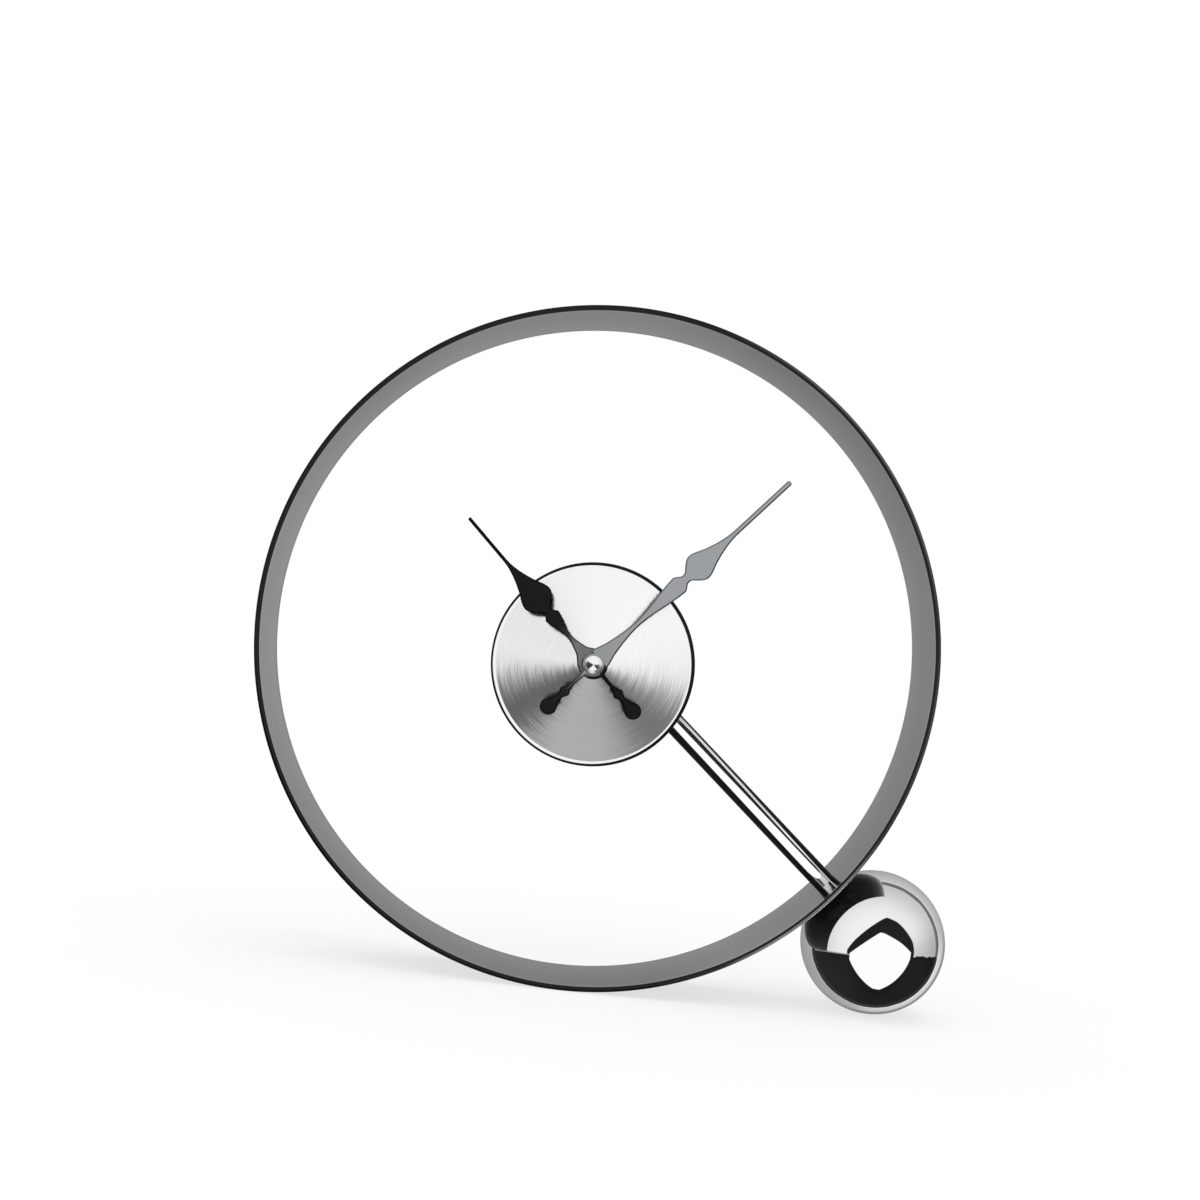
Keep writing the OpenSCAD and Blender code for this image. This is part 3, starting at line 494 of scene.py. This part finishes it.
# Painted reflections in the base colour: dark bands at both edges, a thin dark line and a painted highlight
# line beside it.
painted_dark_bands = line.math("MAXIMUM", line.math("MAXIMUM", line, upper), lower) * front
painted_light_line = (askew - line_at).step(0, CRISP) * (1 - painted_dark_bands) * front * (1 - station.step(LIGHT_UNTIL, 20))
chrome.set("Base Color", chrome.shade(painted_dark_bands, (0.97, 0.966, 0.962), (0.012, 0.012, 0.013)))
chrome.set("Metallic", 1 - line.math("MAXIMUM", painted_dark_bands, painted_light_line))
chrome.set("Specular IOR Level", 0.05)
tube = rod(rod_line + along * (case_along + STOCK), rod_line + along * (hoop_r - 0.5 * MM), TUBE_R)
cut(tube, rod(hub - depth * 20 * MM, hub + depth * 20 * MM, case_r, 192))
cut(tube, rod(hoop_mid - depth * STOCK, hoop_mid + depth * STOCK, hoop_r - hoop_t, 320), "INTERSECT")
cut(tube, rod(rod_line, rod_line + along * (hoop_r + 9 * MM), BORE_R, 48))
settle(tube, "tube", "clock_frame", chrome, "tube_chrome", "support_tube")

# Tie rod, washer and nut: plated steel. The threaded rod holds ball, hoop, tube and case together
# and is drawn tight by the nut on its flat seat inside the case.
steel = Finish("plated_steel", rod_line, Metallic=1.0)
PITCH = 0.8 * MM
round_it = steel.y.math("ARCTAN2", steel.y, steel.distance(across))
thread = steel.y.math("PINGPONG", steel.distance(along) / PITCH + round_it / math.tau, 0.5) * 2
plating = steel.noise(steel.spot, 900, 3)
steel.set("Base Color", steel.shade(plating, (0.50, 0.50, 0.49), (0.62, 0.62, 0.61)))
steel.set("Roughness", 0.22 + 0.14 * plating)
steel.relief(thread, 0.25 * MM)


def soften(piece, width, segments=2, sharpness=35, test=None):
    """Rounds the sharp edges of a piece, or those of them that pass a test."""
    only(piece)
    bpy.ops.object.mode_set(mode="EDIT")
    bpy.ops.mesh.select_mode(type="EDGE")
    bpy.ops.mesh.select_all(action="DESELECT")
    bpy.ops.mesh.edges_select_sharp(sharpness=math.radians(sharpness))
    if test:
        mesh = bmesh.from_edit_mesh(piece.data)
        for part in mesh.edges:
            middle = (part.verts[0].co + part.verts[1].co) / 2
            part.select_set(part.select and test(middle))
        mesh.select_flush_mode()
        bmesh.update_edit_mesh(piece.data)
    bpy.ops.mesh.bevel(offset=width, segments=segments, affect="EDGES", clamp_overlap=True)
    bpy.ops.mesh.select_all(action="SELECT")
    bpy.ops.mesh.remove_doubles(threshold=1e-7)
    bpy.ops.object.mode_set(mode="OBJECT")


seat_r, case_wall, dial_t = 5.5 * MM, 1.2 * MM, 1.5 * MM
seat_at = case_along + math.sqrt((case_r - case_wall) ** 2 - (case_across + seat_r) ** 2) - 0.2 * MM
WASHER_T, NUT_T, NUT_R, ROD_R, ROD_END = 0.8 * MM, 2.7 * MM, 4.6 * MM, 2.5 * MM, 0.8 * MM
seat = rod_line + along * seat_at
screw = rod(seat - along * (WASHER_T + NUT_T + ROD_END), rod_line + along * (hoop_r + 14 * MM), ROD_R, 48)
soften(screw, 0.4 * MM, 1)
settle(screw, "threaded_rod", "clock_frame", steel, "bright_steel", "tie_rod")
plain = Finish("plain_steel", rod_line, Metallic=1.0)
plating = plain.noise(plain.spot, 900, 3)
plain.set("Base Color", plain.shade(plating, (0.50, 0.50, 0.49), (0.66, 0.66, 0.65)))
plain.set("Roughness", 0.20 + 0.16 * plating)
plain.relief(plating, 0.004 * MM)
washer = rod(seat - along * WASHER_T, seat, NUT_R + 0.1 * MM, 64)
cut(washer, rod(seat - along * 3 * MM, seat + along * 3 * MM, BORE_R, 48))
soften(washer, 0.12 * MM)
settle(washer, "rod_washer", "clock_frame", plain, "bright_steel", "tie_washer")
nut = rod(seat - along * (WASHER_T + NUT_T), seat - along * WASHER_T, NUT_R, 6, 30)
cut(nut, rod(seat - along * 9 * MM, seat + along * 3 * MM, ROD_R + 0.05 * MM, 48))
soften(nut, 0.2 * MM)
settle(nut, "rod_nut", "clock_frame", plain, "bright_steel", "tie_nut")

# Case: a steel drum, open at the back. Its front plate is the dial, brushed in circles, inside a
# narrow bright edge. The side is polished steel with a black line at its front corner, painted wider
# towards the right as painted shade, and has a pad inside for the rod's nut.
RIM_R, BUSH_R, BEAD, FRONT_SKIN, LINE_W = 1.1 * MM, 4 * MM, 0.95 * MM, 0.3 * MM, 1.25 * MM
dial = Finish("brushed_case", hub)
flat = dial.vector(dial.x, 0, dial.z)
radius = dial.vectors("LENGTH", {0: flat}, "Value")
outwards = dial.vectors("NORMALIZE", {0: flat})
sideways = dial.vectors("CROSS_PRODUCT", {0: outwards, 1: (0, 1, 0)})
front_side = (dial.y * -1).step(case_half - FRONT_SKIN, 0.1 * MM)
brushed = front_side * (1 - radius.step(case_r - RIM_R - BEAD, 0.05 * MM))
# Painted shade: the black corner line is drawn wider towards the right.
painted_shade_side = dial.vectors("DOT_PRODUCT", {0: outwards, 1: (1, 0, 0.35)}, "Value")
corner = (dial.y * -1).step(case_half - RIM_R - 0.1 * MM, 0.1 * MM)
dark_line = corner * (radius + painted_shade_side * 0.35 * MM).step(case_r - LINE_W, 0.08 * MM)
streaks = dial.noise(dial.vector(radius * 9000, 0, 0), 1, 3, 0.7)
arcs = dial.noise(dial.vector(radius * 2600, dial.x * 70, dial.z * 70), 1, 3, 0.6)
LEAN, SWIRL = 0.23, 0.16
lean = brushed * (LEAN + 0.04 * (streaks - 0.5))
swirl = brushed * SWIRL * (arcs - 0.5)
geometry = dial.add("ShaderNodeNewGeometry", {}, {}, "Normal")
leaning = dial.vectors("SCALE", {0: outwards, "Scale": lean})
turning = dial.vectors("SCALE", {0: sideways, "Scale": swirl})
grained = dial.vectors("ADD", {0: dial.vectors("ADD", {0: geometry, 1: leaning}), 1: turning})
dial.set("Normal", dial.vectors("NORMALIZE", {0: grained}))
steel_tone = dial.shade(arcs, (0.89, 0.885, 0.88), (1.0, 1.0, 0.995))
dial.set("Base Color", dial.shade(dark_line, steel_tone, (0.006, 0.006, 0.007)))
dial.set("Metallic", 1 - dark_line)
dial.set("Specular IOR Level", 0.12)
dial.set("Roughness", 0.05 + brushed * (0.11 + 0.06 * streaks) + dark_line * 0.10)
bpy.ops.object.select_all(action="DESELECT")
bpy.ops.mesh.primitive_cylinder_add(vertices=192, radius=case_r, depth=2 * case_half, location=hub,
                                    rotation=(math.radians(90), 0, 0))
case = bpy.context.object
bpy.ops.object.transform_apply(location=True, rotation=True, scale=True)
bpy.ops.object.mode_set(mode="EDIT")
pick("FACE", lambda middle, normal: normal.y > 0.9)
bpy.ops.mesh.inset(thickness=case_wall)
bpy.ops.mesh.extrude_region_move(TRANSFORM_OT_translate={"value": (0, dial_t - 2 * case_half, 0)})
pick("EDGE", lambda middle, run: middle.y < hub.y - case_half + 0.01 * MM and abs(run.y) < 1e-6)
bpy.ops.mesh.bevel(offset=RIM_R, segments=8, affect="EDGES")
pick("FACE", lambda middle, normal: normal.y < -0.99 and (middle - hub).xz.length < 1 * MM)
bpy.ops.mesh.inset(thickness=BEAD)
GROOVE_W, GROOVE_DEEP = 0.12 * MM, 0.04 * MM
bpy.ops.mesh.inset(thickness=GROOVE_W)
bpy.ops.transform.translate(value=(0, GROOVE_DEEP, 0))
pick("EDGE", lambda middle, run: middle.y > hub.y + case_half - 0.01 * MM and abs(run.y) < 1e-6)
bpy.ops.mesh.bevel(offset=0.25 * MM, segments=2, affect="EDGES")
bpy.ops.object.mode_set(mode="OBJECT")
pad = rod(seat, rod_line + along * (case_along + case_r), seat_r, 64)
inner = case_half - 2 * MM
cut(pad, rod(hub - depth * inner, hub + depth * inner, case_r - case_wall + 0.4 * MM, 192), "INTERSECT")
cut(case, pad, "UNION")
cut(case, rod(seat - along * MM, rod_line + along * (case_along + case_r + 2 * MM), BORE_R, 48))
cut(case, rod(hub - depth * 15 * MM, hub, BUSH_R + 0.2 * MM, 64))
settle(case, "case", "clock_frame", dial, "brushed_dial", "case_shell", angle=15)


# Gasket: a soft rubber ring between the movement and the back of the dial.
def ring_piece(front, back, outer, bore, sides=96, turned=0):
    """A flat ring on the hands' axis, in mm: both its depths from the case's middle, and its radii."""
    blank = rod(hub - depth * back * MM, hub - depth * front * MM, outer * MM, sides, turned)
    cut(blank, rod(hub - depth * (back - 5) * MM, hub - depth * (front + 5) * MM, bore * MM, 64))
    return blank


rubber = Finish("black_rubber", hub, Roughness=0.75)
grain = rubber.noise(rubber.spot, 1500, 3)
rubber.set("Base Color", rubber.shade(grain, (0.022, 0.022, 0.023), (0.045, 0.045, 0.046)))
rubber.relief(grain, 0.02 * MM)
gasket = ring_piece(11.5, 10.5, 13, 4.3)
soften(gasket, 0.15 * MM)
settle(gasket, "gasket", "clock_frame", rubber, "rubber", "case_gasket")

# Bush, washer and nut: turned brass. The bush is part of the movement and passes through the
# dial, where the washer and the hexagon nut clamp it under the hour hand.
brass = Finish("turned_brass", hub, Metallic=1.0)
tool_marks = brass.noise(brass.vector(brass.y * 15000, 0, 0), 1, 2)
tarnish = brass.noise(brass.spot, 250, 3)
brass.set("Base Color", brass.shade(tarnish, (0.62, 0.43, 0.16), (0.78, 0.58, 0.27)))
brass.set("Roughness", 0.20 + 0.15 * tarnish)
brass.relief(tool_marks, 0.004 * MM)
thin_washer = ring_piece(13.5, 13, 5.8, 4.2)
soften(thin_washer, 0.1 * MM)
settle(thin_washer, "bush_washer", "clock_frame", brass, "brass", "dial_washer")
bush_nut = ring_piece(15.5, 13.5, 5.7, 4.05, 6, 30)
soften(bush_nut, 0.2 * MM)
settle(bush_nut, "bush_nut", "clock_frame", brass, "brass", "dial_nut")


def dress(finish, *nodes):
    """Gives a finish to CAD nodes that keep their own mesh."""
    for node in nodes:
        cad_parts[node].data.materials[0] = finish.material


dress(brass, "fixing_bush")

# Hands: stamped from thin steel sheet, their front edges broken. The minute hand's blue-grey is a
# painted glare, the hour hand's lighter stretch near the hub a painted reflection, and the sloped
# edges of both are painted darker as painted shade. The hour hand is pressed on its pipe, and the
# minute hand is clamped on its thread, both over the middle of the dial.
def twin(node):
    """A copy of a CAD node's mesh, merged and without lines across its flat faces."""
    copy = bpy.data.objects.new(node + "_copy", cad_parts[node].data.copy())
    bpy.context.scene.collection.objects.link(copy)
    only(copy)
    bpy.ops.object.mode_set(mode="EDIT")
    bpy.ops.mesh.select_all(action="SELECT")
    bpy.ops.mesh.remove_doubles(threshold=1e-6)
    bpy.ops.mesh.dissolve_limited(angle_limit=math.radians(0.5))
    bpy.ops.object.mode_set(mode="OBJECT")
    return copy


def hand_finish(name, angle, stations):
    """Steel whose tone changes along the hand, a painted reflection: stations give a distance from the
    axis, in mm, and a tone; a distance below 0 is on the tail. The sloped edges are painted darker, as
    painted shade."""
    finish = Finish(name, hub, Metallic=1.0)
    pointing = (math.sin(math.radians(angle)), 0, math.cos(math.radians(angle)))
    tail_end, tip = stations[0][0], stations[-1][0]
    stops = [((at - tail_end) / (tip - tail_end), shade) for at, shade in stations]
    tone = finish.add("ShaderNodeValToRGB", {"stops": stops},
                      {"Fac": (finish.distance(pointing) / MM - tail_end) / (tip - tail_end)})
    grain = finish.noise(finish.spot, 500, 3)
    facet = finish.add("ShaderNodeNewGeometry", {}, {}, "True Normal")
    # Painted shade: the sloped edges are darker.
    slope = 1 - (finish.add("ShaderNodeSeparateXYZ", {}, {0: facet}, 1) * -1).step(0.95, 0.02)
    grain_and_edge_shade = finish.shade(slope, finish.shade(grain, grey(0.95), grey(1.0)), grey(EDGE_SHADE_TONE))
    finish.set("Base Color", finish.add("ShaderNodeMix", {"data_type": "RGBA", "blend_type": "MULTIPLY"},
                                        {0: 1.0, 6: tone, 7: grain_and_edge_shade}, 2))
    finish.set("Roughness", 0.10 + 0.06 * grain)
    return finish


def tint(value, cool=1.0):
    """A steel tone; cool above 1 leans to blue."""
    return (value / cool, value, value * cool, 1)


def chamfer(piece, width, drop):
    """Slopes the border of the front face: so far across it and so deep."""
    only(piece)
    foremost = min(v.co.y for v in piece.data.vertices)
    bpy.ops.object.mode_set(mode="EDIT")
    pick("FACE", lambda middle, normal: normal.y < -0.99 and middle.y < foremost + 0.01 * MM)
    bpy.ops.transform.translate(value=(0, drop, 0))
    bpy.ops.mesh.inset(thickness=width, depth=drop)
    bpy.ops.object.mode_set(mode="OBJECT")


MINUTE_ANGLE, HOUR_ANGLE, EDGE_SHADE_TONE = 41, 313.5, 0.45
# Painted reflection: the hour hand is lighter near the hub; the minute hand's blue-grey is a painted glare.
hour_sheen_stations = [(-30, tint(0.012)), (-3, tint(0.012)), (0, tint(0.16)), (11, tint(0.18)), (16, tint(0.04)),
                 (21, tint(0.014)), (80, tint(0.012))]
minute_glare_stations = [(-30, tint(0.012)), (-15, tint(0.02)), (-8, tint(0.16)), (-5, tint(0.30)),
                   (10, tint(0.33, 1.02)), (40, tint(0.37, 1.04)), (110, tint(0.37, 1.04))]
hour_steel = hand_finish("black_hand", HOUR_ANGLE, hour_sheen_stations)
minute_steel = hand_finish("grey_hand", MINUTE_ANGLE, minute_glare_stations)
CHAMFER, DROP = 0.55 * MM, 0.27 * MM
hour_hand = twin("hour_hand")
chamfer(hour_hand, CHAMFER, DROP)
settle(hour_hand, "hour_hand_blade", "hour_group", hour_steel, "hand_dark", "hour_hand", angle=15)
minute_hand = twin("minute_hand")
chamfer(minute_hand, CHAMFER, DROP)
settle(minute_hand, "minute_hand_blade", "minute_group", minute_steel, "hand_grey", "minute_hand", angle=15)

# Hand washer and cap nut: turned and polished. The nut is a short cylinder with a low cone and holds
# the minute hand on the threaded end of its arbor.
bright = Finish("polished_nut", hub, Metallic=1.0, Base_Color=(0.93, 0.925, 0.915, 1))
tool_marks = bright.noise(bright.vector(0, bright.y * 20000, 0), 1, 2)
bright.set("Roughness", 0.04 + 0.03 * tool_marks)
CAP_R, CAP_TIP_R, CAP_RIM, CAP_TOP, CAP_AT, THREAD_R, THREAD_DEEP = 3.65, 0.2, 1.1, 3.1, 19.4, 1.45, 2.1
cap = rod(hub - depth * CAP_AT * MM, hub - depth * (CAP_AT + CAP_TOP) * MM, CAP_R * MM, 96)
bpy.ops.object.mode_set(mode="EDIT")
bpy.ops.mesh.select_all(action="SELECT")
bpy.ops.mesh.bisect(plane_co=hub - depth * (CAP_AT + CAP_RIM) * MM, plane_no=(0, 1, 0))
pick("FACE", lambda middle, normal: normal.y < -0.9 and middle.y < hub.y - (CAP_AT + 2) * MM)
bpy.ops.transform.resize(value=(CAP_TIP_R / CAP_R, 1, CAP_TIP_R / CAP_R), center_override=hub)
bpy.ops.object.mode_set(mode="OBJECT")
cut(cap, rod(hub - depth * (CAP_AT - 1) * MM, hub - depth * (CAP_AT + THREAD_DEEP) * MM, THREAD_R * MM, 48))
soften(cap, 0.12 * MM, 3, 25)
settle(cap, "cap_nut_polished", "minute_group", bright, "tube_chrome", "cap_nut", angle=12)
hand_washer = ring_piece(19.4, 19, 4.2, THREAD_R)
soften(hand_washer, 0.1 * MM)
washer_steel = Finish("grey_washer", hub, Metallic=1.0)
faced = washer_steel.noise(washer_steel.spot, 1200, 2)
washer_steel.set("Base Color", washer_steel.shade(faced, grey(0.28), grey(0.38)))
washer_steel.set("Roughness", 0.15 + 0.1 * faced)
settle(hand_washer, "cap_washer", "minute_group", washer_steel, "tube_chrome", "hand_washer")

# Movement housing: moulded plastic in two halves. The rear half holds the battery in a bay that is
# open to the back, and the setting knob's shaft comes through its rear wall.
housing = Finish("housing_plastic", hub, Roughness=0.45)
pebble = housing.noise(housing.spot, 2600, 3)
flow = housing.noise(housing.spot, 60, 2)
housing.set("Base Color", housing.shade(flow, (0.040, 0.040, 0.042), (0.060, 0.060, 0.063)))
housing.set("Roughness", 0.42 + 0.15 * pebble)
housing.relief(pebble, 0.02 * MM)
dress(housing, "movement_front")


def block(left, right, bottom, top, front, back):
    """A box in the case's own measures, in mm: left to right, up, and depth from the viewer."""
    bpy.ops.object.select_all(action="DESELECT")
    middle = Vector((left + right, -front - back, bottom + top)) / 2
    bpy.ops.mesh.primitive_cube_add(size=1, location=hub + middle * MM)
    box = bpy.context.object
    box.scale = Vector((right - left, front - back, top - bottom)) * MM
    bpy.ops.object.transform_apply(location=True, rotation=True, scale=True)
    return box


HALF, CORNER, BACK, COVER = 28, 4.5, -5.5, 9.5
body = block(-HALF, HALF, -HALF, HALF, COVER, BACK)
only(body)
bpy.ops.object.mode_set(mode="EDIT")
pick("EDGE", lambda middle, run: abs(run.y) > 10 * MM)
bpy.ops.mesh.bevel(offset=CORNER * MM, segments=8, affect="EDGES")
pick("EDGE", lambda middle, run: middle.y > hub.y - BACK * MM - 0.01 * MM and abs(run.y) < 1e-6)
bpy.ops.mesh.bevel(offset=0.8 * MM, segments=3, affect="EDGES")
bpy.ops.object.mode_set(mode="OBJECT")
INNER, BAY_TOP, DIVIDER, BAY_FLOOR = 27, -12.4, -11.4, 8.9
cut(body, block(-INNER, INNER, DIVIDER, INNER, COVER + 1, BACK + 1))
cut(body, block(-INNER, INNER, -INNER, BAY_TOP, BAY_FLOOR, BACK - 1))
CELL_U, CELL_V, CELL_W, CELL_R, STRIP_T, STRIP_HALF = -25.15, -19.7, 1.6, 7, 0.4, 3.1
for slot in (STRIP_T - INNER, INNER - STRIP_T):
    cut(body, block(slot - STRIP_T, slot + STRIP_T, BAY_TOP - 1, BAY_TOP + 2,
                    CELL_W + STRIP_HALF, CELL_W - STRIP_HALF))
KNOB, SHAFT_HOLE_R = hub + Vector((-10.392, 0, 6)) * MM, 1.25 * MM
cut(body, rod(KNOB - depth * 2 * (BACK + 1) * MM, KNOB - depth * (BACK - 2) * MM, SHAFT_HOLE_R, 48))
settle(body, "housing_rear", "clock_frame", housing, "housing_plastic", "movement_rear")

# Battery: a plain cylindrical cell in a dark sleeve, its ends and its button bare steel. It lies
# across the bay between the two contact strips.
CELL_LONG, SLEEVE_FROM, SLEEVE_TO, BUTTON_R, BUTTON_H = 49.2, 1.2, 48.2, 2.7, 1.1
sleeve = Finish("battery_skin", hub, Roughness=0.3)
run = sleeve.x / MM - CELL_U
band_mask = run.step(SLEEVE_FROM, 0.05) * (1 - run.step(SLEEVE_TO, 0.05))
scuff = sleeve.noise(sleeve.spot, 300, 4, 0.6)
sleeve.set("Base Color", sleeve.shade(band_mask, (0.62, 0.61, 0.59),
                                      sleeve.shade(scuff, (0.030, 0.032, 0.036), (0.055, 0.058, 0.064))))
sleeve.set("Metallic", 1 - band_mask)
sleeve.set("Roughness", 0.25 + 0.15 * scuff)
sleeve.relief(scuff, 0.01 * MM)
END = hub + Vector((CELL_U, -CELL_W, CELL_V)) * MM
cell = rod(END, END + Vector((CELL_LONG, 0, 0)) * MM, CELL_R * MM, 96)
bpy.ops.object.mode_set(mode="EDIT")
pick("FACE", lambda middle, normal: normal.x > 0.9)
bpy.ops.mesh.inset(thickness=(CELL_R - BUTTON_R) * MM)
bpy.ops.mesh.extrude_region_move(TRANSFORM_OT_translate={"value": (BUTTON_H * MM, 0, 0)})
pick("FACE", lambda middle, normal: normal.x < -0.9)
bpy.ops.mesh.inset(thickness=2 * MM)
bpy.ops.mesh.extrude_region_move(TRANSFORM_OT_translate={"value": (0.3 * MM, 0, 0)})
bpy.ops.object.mode_set(mode="OBJECT")
soften(cell, 0.35 * MM, 3)
settle(cell, "battery_cell_sleeved", "battery_cell", sleeve, "battery_skin", "battery")

# Contacts: punched strips, the positive one of bare brass and the negative one nickel-plated.
dress(brass, "positive_contact")
nickel = Finish("nickel_plate", hub, Metallic=1.0)
plating = nickel.noise(nickel.spot, 700, 3)
nickel.set("Base Color", nickel.shade(plating, (0.56, 0.55, 0.52), (0.68, 0.67, 0.64)))
nickel.set("Roughness", 0.20 + 0.15 * plating)
nickel.relief(plating, 0.003 * MM)
dress(nickel, "negative_contact", "quartz_crystal")

# Setting knob: black plastic, knurled all round, pressed on the shaft that turns the motion wheel.
knob_plastic = Finish("frame_plastic", KNOB, Roughness=0.4)
mould = knob_plastic.noise(knob_plastic.spot, 1800, 3)
knob_plastic.set("Base Color", knob_plastic.shade(mould, (0.018, 0.018, 0.019), (0.034, 0.034, 0.036)))
knob_plastic.set("Roughness", 0.35 + 0.15 * mould)
knob_plastic.relief(mould, 0.01 * MM)
knob = twin("setting_knob")
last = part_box("setting_knob")[1].y
soften(knob, 0.3 * MM, 2, 60, lambda middle: middle.y > last - 0.01 * MM)
settle(knob, "knurled_knob", "setting_shaft", knob_plastic, "frame_plastic", "setting_knob")
dress(knob_plastic, "gear_plate", "train_bridge", "coil_bobbin")

# Wheels: moulded in milky plastic, each with its pinion on one arbor.
acetal = Finish("gear_plastic", hub, Roughness=0.35)
flow = acetal.noise(acetal.spot, 400, 3)
acetal.set("Base Color", acetal.shade(flow, (0.72, 0.71, 0.66), (0.80, 0.79, 0.75)))
acetal.set("Roughness", 0.32 + 0.12 * flow)
acetal.relief(flow, 0.005 * MM)
dress(acetal, "hour_wheel", "motion_wheel", "centre_wheel", "third_wheel", "fourth_wheel", "fifth_wheel",
      "rotor")
dress(brass, "minute_arbor")

# Motor: a soft-iron stator and core around a sintered magnet, and a coil of enamelled copper wire.
iron = Finish("soft_iron", hub, Metallic=1.0)
bloom = iron.noise(iron.spot, 900, 4)
iron.set("Base Color", iron.shade(bloom, (0.34, 0.34, 0.35), (0.48, 0.48, 0.49)))
iron.set("Roughness", 0.35 + 0.2 * bloom)
iron.relief(bloom, 0.006 * MM)
dress(iron, "stator", "coil_core")
copper = Finish("enamelled_wire", hub, Metallic=1.0)
WIRE = 0.12 * MM
turns = copper.x.math("PINGPONG", copper.x / WIRE, 0.5) * 2
copper.set("Base Color", copper.shade(turns, (0.36, 0.13, 0.05), (0.72, 0.32, 0.14)))
copper.set("Roughness", 0.22 + 0.15 * turns)
copper.relief(turns, 0.03 * MM)
dress(copper, "coil_winding")
sinter = Finish("sintered_magnet", hub, Metallic=0.6)
grit = sinter.noise(sinter.spot, 3000, 4)
sinter.set("Base Color", sinter.shade(grit, (0.045, 0.045, 0.05), (0.11, 0.11, 0.12)))
sinter.set("Roughness", 0.45 + 0.2 * grit)
sinter.relief(grit, 0.01 * MM)
dress(sinter, "rotor_magnet")

# Circuit: a green fibre board with a chip under a drop of black resin.
board = Finish("green_board", hub, Roughness=0.35)
weave = board.noise(board.vector(board.x * 3000, board.y * 500, board.z * 3000), 1, 2)
board.set("Base Color", board.shade(weave, (0.010, 0.085, 0.035), (0.020, 0.13, 0.055)))
board.set("Roughness", 0.28 + 0.15 * weave)
board.relief(weave, 0.01 * MM)
dress(board, "circuit_board")
resin = Finish("black_resin", hub, Roughness=0.25)
ripple = resin.noise(resin.spot, 500, 2)
resin.set("Base Color", resin.shade(ripple, grey(0.010), grey(0.018)))
resin.set("Roughness", 0.20 + 0.15 * ripple)
resin.relief(ripple, 0.02 * MM)
dress(resin, "clock_chip")
